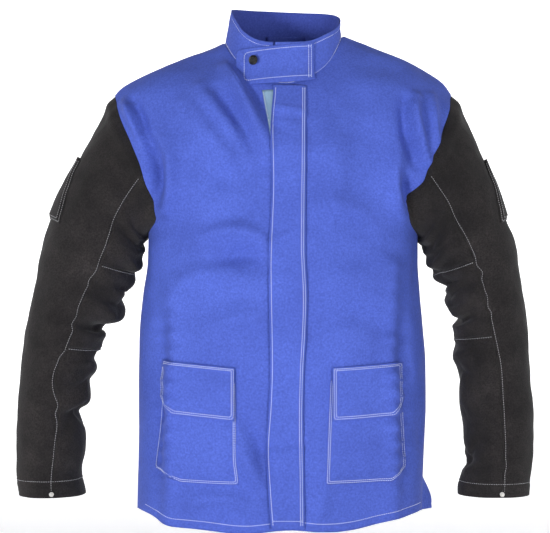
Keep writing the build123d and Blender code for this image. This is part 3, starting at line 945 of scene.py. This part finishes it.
def collar_edges(angle, sink=7.0):
    """Heights of the collar's lower and upper edges at each angle."""
    x = NECK_HALF_WIDTH * np.sin(angle)
    front = neck_height(x, -1)
    behind = neck_height(x, 1)
    low = np.where(np.cos(angle) > 0, front, behind)
    y = -NECK_HALF_DEPTH * np.cos(angle) * 0.95
    high_right = COLLAR_TOP[-1](y)
    high_left = COLLAR_TOP[1](y)
    share = ease((np.sin(angle) + 0.5) / 1.0)
    return low - sink, high_right * (1 - share) + high_left * share


def collar_band(first, last, inward, drop=0.0):
    """The collar's surface between two angles; drop lowers its upper edge."""
    angle = np.linspace(first, last, COLLAR_COLUMNS)
    low, high = collar_edges(angle)
    v = np.linspace(0, 1, COLLAR_ROWS)[:, None]
    z = low[None] + (high[None] - drop - low[None]) * v
    points = collar_point(angle[None] + 0 * z, z, inward)
    normals = np.stack([np.sin(angle)[None] + 0 * z, -np.cos(angle)[None] + 0 * z, 0.05 + 0 * z], axis=-1)
    lumps = soft_noise(points, 40, 11) * COLLAR_ROLL + soft_noise(points, 17, 12) * 0.35 * COLLAR_ROLL
    edge = np.minimum(v * 1.5, 1)
    return points + normals * (lumps * edge)[..., None], normals


def collar_angles():
    start = math.asin((COLLAR_SPLIT_X + 0.5) / 90)
    return start, start + 2 * math.pi - math.radians(1.4)


def make_collar():
    first, last = collar_angles()
    points, normals = collar_band(first, last, 0)
    outer = cloth_piece("collar_outer_cloth", "collar_outer", points, normals, BLUE, CLOTH)
    points, normals = collar_band(first + 0.01, last - 0.01, CLOTH + 0.5, drop=1.4)
    lining = cloth_grid("collar_lining_cloth", points, -normals, SHADED_INSIDE_BLUE, 1.0)
    lining.modifiers["thickness"].offset = 1
    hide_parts("collar_lining")
    return outer, lining


def make_hang_loop():
    """A folded tape sewn inside the back of the neck."""
    half = 33
    u = np.linspace(-1, 1, 41)
    rows = np.linspace(0, 1, 5)
    points = np.zeros((5, 41, 3))
    normals = np.zeros((5, 41, 3))
    for i, share in enumerate(rows):
        rise = 46.5 - 9 * share
        wall = collar_point(math.pi - np.arcsin(u * half / 88), np.full_like(u, rise), CLOTH + 2.0)
        stand = 11.5 * np.clip(1 - np.abs(u) ** 6, 0, 1) ** 0.5
        points[i] = wall
        points[i, :, 1] -= stand
        normals[i] = (0, -1, 0)
    piece = cloth_piece("hang_loop_tape", "hang_loop", points, normals, SHADED_INSIDE_BLUE, 1.4)
    return piece


# ---- throat tab ------------------------------------------------------------------------------
TAB_LEFT_X = -66.5
TAB_RIGHT_X = 46.0
TAB_CORNER = 6.0
TAB_STAND = 3.3 + 1.3        # off the collar: the collar's own layers, then the tab's
TAB_HIGH = smooth([(-70, 6), (-20, 8.5), (20, 12), (46, 16)])
TAB_LOW = smooth([(-70, -50.5), (-20, -49), (20, -46), (46, -42)])


def tab_points(rows=34, columns=66):
    """The tab laid over the collar, with rounded corners at its free end."""
    u = np.linspace(0, 1, columns)
    x = TAB_LEFT_X + (TAB_RIGHT_X - TAB_LEFT_X) * u
    high = TAB_HIGH(x)
    low = TAB_LOW(x)
    from_end = x - TAB_LEFT_X
    arc = np.sqrt(np.clip(TAB_CORNER ** 2 - (TAB_CORNER - from_end) ** 2, 0, None))
    cut = np.where(from_end < TAB_CORNER, TAB_CORNER - arc, 0)
    v = np.linspace(0, 1, rows)[:, None]
    z = (low + cut)[None] * (1 - v) + (high - cut)[None] * v
    share = (z + 62) / 166
    angle = np.arcsin(np.clip((x[None] - 7 * share) / (93 - 9 * share), -0.95, 0.95))
    base = collar_point(angle, z)
    normals = np.stack([np.sin(angle), -np.cos(angle), 0 * angle], axis=-1)
    lumps = soft_noise(base, 30, 21) * 0.8 + soft_noise(base, 13, 22) * 0.3
    free = 1 - ease((x[None] + 66) / 90)
    sewn = 1.2 * ease((x[None] - 30) / 16)
    stand = TAB_STAND + 0.9 * free + lumps - sewn + 4.0 * ease((-22 - z) / 26)
    return base + normals * stand[..., None], normals


def make_tab():
    points, normals = tab_points()
    tab = cloth_piece("collar_tab_cloth", "collar_tab", points, normals, BLUE, 2.4)
    return tab


# ---- pockets ---------------------------------------------------------------------------------
# Edges as (z, x distance) from the bottom up; the outer edge is the one towards the side seam.
POUCH_OUTER = {
    -1: smooth([(-657, 153), (-655, 158), (-641, 200), (-636, 201), (-600, 196), (-545, 190), (-500, 187)]),
    1: smooth([(-656, 162), (-652, 168), (-641, 188), (-636, 189), (-600, 187), (-545, 184), (-500, 183)]),
}
POUCH_INNER = {
    -1: smooth([(-657, 66.5), (-645, 67), (-620, 70), (-545, 70.5), (-500, 71)]),
    1: smooth([(-656, 62.5), (-620, 64), (-560, 66.5), (-500, 69)]),
}
FLAP_OUTER = {
    -1: smooth([(-562, 170), (-558, 176), (-544, 190.5), (-540, 191), (-500, 190), (-470, 189)]),
    1: smooth([(-566, 166), (-560, 172), (-548, 184), (-544, 185), (-500, 184), (-470, 183)]),
}
FLAP_INNER = {-1: 72.0, 1: 72.5}
FLAP_SLOPE = {-1: 0.075, 1: 0.05}
FLAP_TOP = -481
FLAP_BOTTOM = -561
POUCH_MOUTH = -500
POUCH_LOW = {-1: -657, 1: -656}


def pouch_lift(u, v):
    """How far a pouch stands off the body: sewn down at three edges, slack in the middle."""
    edge = np.minimum(np.minimum(u, 1 - u) * 6.5, v * 8)
    return 0.5 + 4.6 * ease(edge) + 1.6 * np.sin(np.pi * u) * np.clip(v, 0, 1)


def flap_lift(u, v):
    """How far a flap stands off the body: it hangs loose from its top edge."""
    hang = 4.2 + 4.6 * ease((1 - v) / 0.35) * ease(np.minimum(u, 1 - u) * 5 + 0.45)
    return hang + 1.6 * bump(v - 1.0, 0.05)


def patch(x_outer, x_inner, low, high, slope, side, rows, columns, lift, seed, lumps):
    """A patch on a front panel between two edges given as x by z."""
    u, v = unit_grid(rows, columns)
    level = low + (high - low) * v
    inner = x_inner(level)
    x = inner + (x_outer(level) - inner) * u
    z = level + slope * (x - 72)
    points, normals = place_on_form(np.stack([side * x, z], axis=-1), -1)
    bumps = soft_noise(points, 30, seed) * lumps + soft_noise(points, 12, seed + 1) * lumps * 0.35
    away = np.minimum(np.minimum(u, 1 - u) * 8, 1)
    height = lift(u, v) + bumps * away
    return points + normals * height[..., None], normals


def make_pockets():
    pieces = {}
    for side, name in SIDE_NAMES.items():
        points, normals = patch(POUCH_OUTER[side], POUCH_INNER[side], POUCH_LOW[side], POUCH_MOUTH, 0.0,
                                side, 64, 52, pouch_lift, 31 + side, 1.0)
        pouch = cloth_piece(name + "_pocket_cloth", name + "_pocket", points, normals, BLUE, CLOTH)

        straight = partial(np.full_like, fill_value=FLAP_INNER[side])
        points, normals = patch(FLAP_OUTER[side], straight, FLAP_BOTTOM, FLAP_TOP, FLAP_SLOPE[side],
                                side, 48, 52, flap_lift, 41 + side, 0.55)
        flap = cloth_piece(name + "_pocket_flap_cloth", name + "_pocket_flap", points, normals, BLUE, 2.2)
        pieces[side] = (pouch, flap)
    return pieces


# ---- sleeves ---------------------------------------------------------------------------------
SLEEVE_LENGTH = 548
VIEW_DISTANCE = 2400        # about the camera's: what lies further back is made wider in proportion
# Each station: share of the length, outer z, inner z, y, half depth
STATIONS = {
    -1: [(0, -57, -274, -1, 86), (0.13, -135, -284, -1, 82), (0.28, -236, -306, -3, 79),
         (0.50, -362, -404, -8, 72), (0.74, -508, -510, -22, 60), (0.88, -602, -602, -32, 52),
         (1, -686, -686, -36, 45)],
    1: [(0, -55, -275, -1, 86), (0.13, -139, -286, -1, 82), (0.28, -236, -308, -3, 78),
        (0.50, -362, -398, -8, 70), (0.74, -503, -500, -20, 60), (0.88, -614, -614, -30, 53),
        (1, -686, -686, -34, 46)],
}
# Distances from the middle by height: the sleeve's outer and inner outlines and its front seam.
OUTER_LINE = {
    -1: smooth([(-700, 415), (-694, 416), (-643, 422.4), (-600, 423.4), (-558, 422.4), (-510, 419.2),
                (-446, 411.2), (-387, 400), (-347, 391.5), (-320, 387.2), (-280, 377.6), (-254, 368.6),
                (-202, 345.6), (-157, 321.8), (-114, 300.8), (-83, 284.8), (-57, 267.5)]),
    1: smooth([(-700, 388), (-695, 388.8), (-656, 392), (-614, 396.8), (-558, 398.4), (-502, 393.6),
               (-446, 390.4), (-405, 385.6), (-336, 376), (-283, 366.4), (-261, 357.8), (-213, 340.8),
               (-163, 319.2), (-154, 315.2), (-106, 296), (-72, 279.2), (-55, 267.5)]),
}
INNER_LINE = {
    -1: smooth([(-695, 316), (-690, 316.2), (-656, 321), (-614, 315.8), (-584, 316.8), (-566, 323),
                (-558, 326.4), (-541, 312), (-517, 305.6), (-494, 299), (-477, 299), (-463, 288),
                (-440, 287), (-431, 291.2), (-418, 270.4), (-406, 259.2), (-394, 254.4), (-376, 253.5),
                (-369.6, 256), (-350, 238.4), (-320, 227.2), (-280, 218), (-274, 213.8)]),
    1: smooth([(-695, 279), (-682, 279), (-651, 284.8), (-637, 293), (-632, 293), (-623, 289),
               (-558, 284.8), (-522, 279), (-488, 276.3), (-461, 272), (-448, 272), (-420, 277),
               (-414, 277.8), (-405, 267.2), (-394, 267), (-382, 259.2), (-371, 257.6), (-358, 264),
               (-346, 244), (-333, 236.8), (-310, 228.8), (-294, 217.6), (-275, 213.8)]),
}
SEAM_LINE = {
    -1: smooth([(-730, 357), (-690, 356), (-640, 353), (-600, 349), (-550, 345), (-510, 353), (-490, 350),
                (-470, 340), (-450, 330), (-387, 311), (-350, 293), (-300, 272), (-266, 261), (-210, 237),
                (-160, 214)]),
    1: smooth([(-730, 338), (-690, 338), (-610, 339), (-560, 336), (-500, 334), (-440, 324), (-387, 313),
               (-334, 299), (-290, 281), (-255, 261), (-229, 251), (-190, 236), (-150, 216)]),
}
ELBOW_SHARES = {-1: (0.375, 0.635), 1: (0.375, 0.615)}
# Wrinkles: place along the length in mm, tilt towards the outside in mm, height, width, spread in degrees
# from the inner side, and the angle of their middle from the inner side (front negative).
WRINKLES = {
    -1: [(196, -30, 5.5, 10, 70, -20), (214, -26, -6.5, 9, 75, -20), (236, -34, 7.0, 12, 80, -22),
         (262, -20, -7.0, 9, 72, -16), (284, -28, 7.5, 12, 78, -22), (306, -16, -8.0, 9, 72, -18),
         (326, -20, 7.0, 12, 76, -22), (352, 10, -5.5, 9, 66, -20), (372, 14, 5.5, 11, 66, -24),
         (400, 22, -5.5, 9, 60, -20), (424, 26, 5.0, 12, 62, -20), (446, 24, -5.0, 10, 58, -20),
         (104, -40, 4.0, 14, 80, -30), (140, -44, -4.0, 12, 80, -30), (168, -40, 4.0, 12, 76, -28),
         (480, -10, 2.5, 12, 80, -50), (512, 8, -2.2, 10, 80, -40)],
    1: [(190, -30, 5.5, 10, 70, -20), (208, -28, -7.0, 9, 76, -20), (230, -34, 7.0, 12, 80, -24),
        (252, -22, -7.0, 9, 72, -18), (274, -26, 7.5, 12, 78, -22), (298, -18, -7.5, 9, 74, -20),
        (320, -20, 6.5, 12, 72, -22), (348, 8, -4.5, 10, 62, -20), (372, 10, 4.0, 12, 62, -20),
        (402, 20, -4.0, 10, 56, -20), (430, 22, 4.0, 12, 56, -20), (492, -24, -6.0, 8, 56, -14),
        (506, -24, 4.0, 9, 58, -18), (104, -40, 4.0, 14, 80, -30), (140, -44, -4.0, 12, 80, -30),
        (164, -38, 4.0, 12, 76, -28)],
}


def armhole_loop(side, angle):
    """The armhole seam in space: angle 0 at the shoulder tip, pi at the underarm, front below 0."""
    share = 1 - np.abs(angle) / np.pi
    front = path_2d(FRONT_ARMHOLE[side])(share)
    behind = path_2d(BACK_ARMHOLE)(share)
    loop = np.zeros(angle.shape + (3,))
    for line, facing, chosen in ((front, -1, angle <= 0), (behind, 1, angle > 0)):
        flat = line.copy()
        flat[..., 0] = np.minimum(flat[..., 0], HALF_WIDTH[side](flat[..., 1]) * NEARLY) * side
        points, _ = place_on_form(flat, facing, offset=-2.2)
        loop[chosen] = points[chosen]
    return loop


def sleeve_section(side, share, angle):
    """Plain sleeve form; share is 0 at the armhole and 1 at the cuff."""
    table = STATIONS[side]
    outer_z, inner_z, y, depth = (smooth([(r[0], r[k]) for r in table])(share) for k in (1, 2, 3, 4))
    outer_x = OUTER_LINE[side](outer_z) * (1 + y / VIEW_DISTANCE)
    inner_x = INNER_LINE[side](inner_z) * (1 + y / VIEW_DISTANCE)
    c = np.cos(angle)
    s = np.sin(angle)
    power = 2 / 2.15
    c = np.sign(c) * np.abs(c) ** power
    s = np.sign(s) * np.abs(s) ** power
    x = (outer_x + inner_x) / 2 + (outer_x - inner_x) / 2 * c
    z = (outer_z + inner_z) / 2 + (outer_z - inner_z) / 2 * c
    return np.stack([side * x, y + depth * s, z], axis=-1)


def sleeve_surface(side, share, angle):
    """The sleeve with its wrinkles, and outward directions."""
    base = sleeve_section(side, share, angle)
    loop = armhole_loop(side, angle)
    start = sleeve_section(side, 0 * share, angle)
    fade = 1 - ease(share / 0.17)
    base = base + (loop - start) * fade[..., None]
    centre = (sleeve_section(side, share, 0 * angle) + sleeve_section(side, share, 0 * angle + np.pi)) / 2
    outward = base - centre
    step = 0.004
    along = sleeve_section(side, share + step, angle) - sleeve_section(side, share - step, angle)
    along /= np.linalg.norm(along, axis=-1, keepdims=True) + 1e-9
    outward -= (outward * along).sum(-1, keepdims=True) * along
    outward /= np.linalg.norm(outward, axis=-1, keepdims=True) + 1e-9
    place = share * SLEEVE_LENGTH
    from_inner = np.degrees(np.where(angle < 0, -(np.pi + angle), np.pi - angle))
    rise = np.zeros_like(place)
    for at, tilt, height, width, spread, middle in WRINKLES[side]:
        away = (from_inner - middle) / spread
        line = at + tilt * np.abs(away) + 5 * np.sin(from_inner / 17.0 + at)
        rise += height * bump(place - line, width * (0.8 + 0.5 * np.abs(away))) * np.exp(-(away ** 2) * 1.6)
    broad = soft_noise(base * np.array([1, 1, 0.8]), 70, 51 + side)
    small = soft_noise(base, 24, 53 + side)
    near = ease((place - 3) / 26)
    rise = (rise + 3.2 * broad + 1.1 * small) * near
    rise += 5.0 * bump(place - 13, 10) * (0.6 + 0.4 * np.cos(angle))
    return base + outward * rise[..., None], outward


def seam_angle(side, share):
    """Angle of the sleeve's front seam at each share of the length."""
    angle = np.linspace(0.25, np.pi - 0.2, 90)
    grid_share = share[:, None] + 0 * angle
    points = sleeve_section(side, grid_share, -angle[None] + 0 * grid_share)
    over = np.abs(points[..., 0]) - SEAM_LINE[side](points[..., 2])
    out = np.zeros_like(share)
    for i, row in enumerate(over):
        below = np.nonzero(row < 0)[0]
        k = below[0] if len(below) else len(angle) - 1
        if k == 0:
            out[i] = angle[0]
        else:
            t = row[k - 1] / (row[k - 1] - row[k]) if row[k] != row[k - 1] else 0
            out[i] = angle[k - 1] + (angle[k] - angle[k - 1]) * min(max(t, 0), 1)
    kernel = np.ones(9) / 9
    padded_line = np.concatenate([np.full(4, out[0]), out, np.full(4, out[-1])])
    return np.convolve(padded_line, kernel, mode="valid")


def make_sleeve(side):
    """The sleeve's outer panel, and its three inner panels from the armhole to the cuff."""
    name = SIDE_NAMES[side]
    ride = ride_sleeve()
    high, low = ELBOW_SHARES[side]

    def panel(piece_name, node, first, last, outer_part, columns):
        rows = max(int((last - first) * 230), 20)
        share = np.linspace(first, last, rows)
        seam = seam_angle(side, share)[:, None]
        u = np.linspace(0, 1, columns)[None]
        if outer_part:
            angle = -seam + 2 * seam * u
        else:
            angle = seam + (2 * np.pi - 2 * seam) * u
            angle = np.where(angle > np.pi, angle - 2 * np.pi, angle)
        grid_share = share[:, None] + 0 * angle
        points, outward = sleeve_surface(side, grid_share, angle)
        tuck = bump(u * 0 + (grid_share - first) * SLEEVE_LENGTH, 2.2) if first > 0 else 0 * grid_share
        tuck = tuck + (bump((last - grid_share) * SLEEVE_LENGTH, 2.2) if last < 1 else 0)
        edge = np.minimum(u, 1 - u) * 250
        tuck = tuck + bump(edge + 0 * grid_share, 3.0)
        hem = 0.9 * ease((grid_share - 0.968) / 0.006)
        points = points + outward * (hem - 1.0 * np.minimum(tuck, 1))[..., None]
        piece = cloth_piece(piece_name, node, points, outward, SUEDE, LEATHER)
        ride(piece)

    panel(name + "_sleeve_top_leather", name + "_sleeve_top", 0, 1, True, 96)
    panel(name + "_under_upper_leather", name + "_sleeve_under_upper", 0, high, False, 66)
    panel(name + "_elbow_leather", name + "_elbow_panel", high, low, False, 66)
    panel(name + "_under_lower_leather", name + "_sleeve_under_lower", low, 1, False, 66)


# The pen pocket on each upper arm: along the sleeve from and to, and its angles at both ends
SLEEVE_POCKET = {-1: (90, 170, (-26, 8), (-48, -10)), 1: (90, 170, (-24, 10), (-46, -8))}


def pocket_patch(side, rows=46, columns=26):
    first, last, top_angles, low_angles = SLEEVE_POCKET[side]
    u, v = unit_grid(rows, columns)
    from_angle = top_angles[0] + (low_angles[0] - top_angles[0]) * v
    to_angle = top_angles[1] + (low_angles[1] - top_angles[1]) * v
    angle = np.radians(from_angle + (to_angle - from_angle) * u)
    share = (first + (last - first) * v) / SLEEVE_LENGTH
    points, outward = sleeve_surface(side, share, angle)
    edge = np.minimum(np.minimum(u, 1 - u) * 7, (1 - v) * 12)
    lift = 0.6 + 3.4 * ease(edge) + LEATHER * 0.6
    return points + outward * lift[..., None], outward


def make_sleeve_pocket(side):
    name = SIDE_NAMES[side]
    points, outward = pocket_patch(side)
    piece = cloth_piece(name + "_sleeve_pocket_leather", name + "_sleeve_pocket", points, outward, SUEDE, 1.5)
    ride_sleeve()(piece)


# ---- stitching -------------------------------------------------------------------------------
HEM_ROW = 12.5              # the hem's row above the hem's edge
SEAM_GAP = 0.006            # a row's distance from an elbow seam, as a share of the sleeve


def column(edge, low, high, inset, count=40):
    """A line that follows an upright edge given as x by z, moved sideways by inset."""
    return [(float(edge(z)) + inset, z) for z in np.linspace(low, high, count)]


def pouch_corners(side, inset):
    """The pouch's sewn outline inside its edge: outer side, bottom, inner side."""
    outer = POUCH_OUTER[side]
    inner = POUCH_INNER[side]
    low = POUCH_LOW[side] + inset
    line = [(float(outer(z)) - inset, z) for z in np.linspace(POUCH_MOUTH + 8, -637, 24)]
    corner_x = float(outer(POUCH_LOW[side])) + 2
    line += [(corner_x, low), (float(inner(low)) + inset, low)]
    line += [(float(inner(z)) + inset, z) for z in np.linspace(low, POUCH_MOUTH + 8, 24)]
    return [(side * x, z) for x, z in line]


def flap_corners(side, inset):
    """The flap's sewn outline inside its edge, from the top inner corner round."""
    slope = FLAP_SLOPE[side]
    inner = FLAP_INNER[side] + inset
    outer = float(FLAP_OUTER[side](-500)) - inset
    low_x = float(FLAP_OUTER[side](FLAP_BOTTOM)) - inset
    top = FLAP_TOP - inset * 0.8
    low = FLAP_BOTTOM + inset
    line = [(inner, top), (outer, top), (outer, -544), (low_x, low), (inner, low), (inner, top)]
    return [(side * x, z + slope * (x - 72)) for x, z in line]


def sleeve_run(side, shares, angles, lift=0.1):
    """A stitch run on the sleeve, from shares of its length and angles in radians."""
    points, outward = sleeve_surface(side, np.asarray(shares), np.asarray(angles))
    return [(Vector(p + n * lift), Vector(n)) for p, n in zip(points, outward)]


def sleeve_stitches(side):
    """Rows along the front seam, across the elbow panel's ends and round the cuff."""
    runs = []
    share = np.linspace(0.03, 0.985, 170)
    seam = seam_angle(side, share)
    high, low = ELBOW_SHARES[side]
    for facing in (-1, 1):
        runs.append(sleeve_run(side, share, facing * (seam - 3.0 / 72.0)))
    for panel_edge in (high, low):
        at = panel_edge + SEAM_GAP
        start = float(seam_angle(side, np.array([at] * 12))[0])
        angles = np.linspace(start + 0.04, 2 * np.pi - start - 0.04, 80)
        angles = np.where(angles > np.pi, angles - 2 * np.pi, angles)
        runs.append(sleeve_run(side, np.full(80, at), angles))
    round_cuff = np.linspace(-np.pi, np.pi, 110)
    runs.append(sleeve_run(side, np.full(110, 0.964), round_cuff, lift=0.3))
    return runs


def sleeve_pocket_stitches(side):
    """Two rows round the pen pocket's sewn edges and one along its mouth."""
    points, outward = pocket_patch(side)
    rows, columns = points.shape[:2]
    runs = []
    for edge in (1, 3):
        cells = [(i, edge) for i in range(1, rows - edge)]
        cells += [(rows - 1 - edge, j) for j in range(edge, columns - edge)]
        cells += [(i, columns - 1 - edge) for i in range(rows - 1 - edge, 0, -1)]
        runs.append([(Vector(points[i, j]), Vector(outward[i, j])) for i, j in cells])
    runs.append([(Vector(points[2, j]), Vector(outward[2, j])) for j in range(2, columns - 2)])
    return runs


def collar_run(height, first, last, inset, count=150):
    """A row on the collar; height is 0 at the neck seam and 1 at the top edge."""
    angle = np.linspace(first, last, count)
    low, high = collar_edges(angle, sink=0.0)
    z = (high - inset) if height else (low + inset)
    points = collar_point(angle, z)
    return [Vector(p) for p in points]


def body_runs():
    """Rows on the pouches, hem, collar and loop tape."""
    fronts_tree = surface_tree(fronts[-1], fronts[1])
    collar_tree = surface_tree(collar)
    back_tree = surface_tree(back)
    first, last = collar_angles()
    runs = []
    for side in (-1, 1):
        pouch_tree = surface_tree(pockets[side][0])
        for inset in (2.2, 5.0):
            runs.append(front_run(pouch_tree, pouch_corners(side, inset)))
        hem_x = [side * x for x in np.linspace(20, 214, 60)]
        runs.append(front_run(fronts_tree, [(x, float(hem_line(np.array(x), -1)) + HEM_ROW) for x in hem_x]))
    hem = [(x, float(hem_line(np.array(x), 1)) + HEM_ROW) for x in np.linspace(-212, 212, 110)]
    runs.append(front_run(back_tree, hem, from_y=400, direction=-1))
    for at_top, inset in ((1, 6.5), (0, 2.5)):
        runs.append(near_run(collar_tree, collar_run(at_top, first + 0.06, last - 0.06, inset)))
    tape_edge = [(-31 + 13 * t, -62 - 68 * t) for t in np.linspace(0, 1, 12)]
    runs.append(front_run(surface_tree(loop_tape), tape_edge))
    return [run for run in runs if len(run) > 1]


def storm_flap_runs():
    """One row at the free edge, two at the sewn edge and one across the bottom."""
    tree = surface_tree(fly)
    low = HEM_Z + 8
    high = FLY_TOP - 3
    runs = [front_run(tree, column(FLY_LEFT, low, high, 3.4))]
    for inset in (-3.2, -6.4):
        runs.append(front_run(tree, column(FLY_RIGHT, low, high, inset)))
    bottom = HEM_Z + 15
    across = [(float(FLY_LEFT(bottom)) + 3.4, bottom), (float(FLY_RIGHT(bottom)) - 3, bottom)]
    runs.append(front_run(tree, across))
    return runs


def throat_tab_runs():
    """A row round the tab inside its edge and two across its sewn end."""
    tree = surface_tree(tab)
    inset = 6.2
    left = TAB_LEFT_X + inset
    right = TAB_RIGHT_X - 3.0
    border = [(right, float(TAB_HIGH(right)) - inset), (left + 4, float(TAB_HIGH(left)) - inset),
              (left, float(TAB_HIGH(left)) - inset - 4), (left, float(TAB_LOW(left)) + inset + 4),
              (left + 4, float(TAB_LOW(left)) + inset), (right, float(TAB_LOW(right)) + inset)]
    runs = [front_run(tree, border)]
    for across in (right, right - 4):
        ends = [(across, float(TAB_HIGH(across)) - 3), (across, float(TAB_LOW(across)) + 3)]
        runs.append(front_run(tree, ends))
    return runs


def lay_thread(name, runs, material, ride):
    piece = stitch_mesh(name, runs, material)
    ride(piece)


def stitch_everything():
    """Topstitching, in one mesh or two for each part that it is sewn on."""
    bpy.context.view_layer.update()
    lay_thread("body_stitching", body_runs(), WHITE_THREAD, ride_body)
    lay_thread("storm_flap_stitching", storm_flap_runs(), WHITE_THREAD, ride_storm_flap)
    lay_thread("throat_tab_stitching", throat_tab_runs(), WHITE_THREAD, ride_throat_tab)
    for side, name in SIDE_NAMES.items():
        flap_tree = surface_tree(pockets[side][1])
        runs = [front_run(flap_tree, flap_corners(side, inset)) for inset in (3.0, 6.0)]
        ride = ride_sleeve()
        lay_thread(name + "_flap_stitching", runs, WHITE_THREAD, ride_pocket_flap())
        lay_thread(name + "_sleeve_stitching", sleeve_stitches(side), GREY_THREAD, ride)
        lay_thread(name + "_sleeve_pocket_stitching", sleeve_pocket_stitches(side), GREY_THREAD, ride)


# ---- build -----------------------------------------------------------------------------------
make_camera()
make_studio()
fronts = make_fronts()
back = make_back()
facings = make_facings()
loop_tape, hook_tape = make_tapes()
fly, fly_lining = make_storm_flap()
collar, collar_lining = make_collar()
hang_loop = make_hang_loop()
tab = make_tab()
pockets = make_pockets()
for side in SIDE_NAMES:
    make_sleeve(side)
for side in SIDE_NAMES:
    make_sleeve_pocket(side)

for piece in (fronts[-1], fronts[1], back, collar, pockets[-1][0], pockets[1][0]):
    ride_body(piece)
for piece in (*facings, collar_lining, hang_loop):
    ride_body(piece)
ride_body(loop_tape)
ride_storm_flap(hook_tape)
ride_storm_flap(fly)
ride_storm_flap(fly_lining)
ride_throat_tab(tab)
for side in (-1, 1):
    ride_pocket_flap()(pockets[side][1])

for name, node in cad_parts.items():
    if "snap" in name or "rivet" in name:
        node.data.materials.clear()
        node.data.materials.append(ENAMEL if name == "tab_snap_cap" else PLATED)

stitch_everything()
bpy.context.scene.view_settings.view_transform = "Standard"
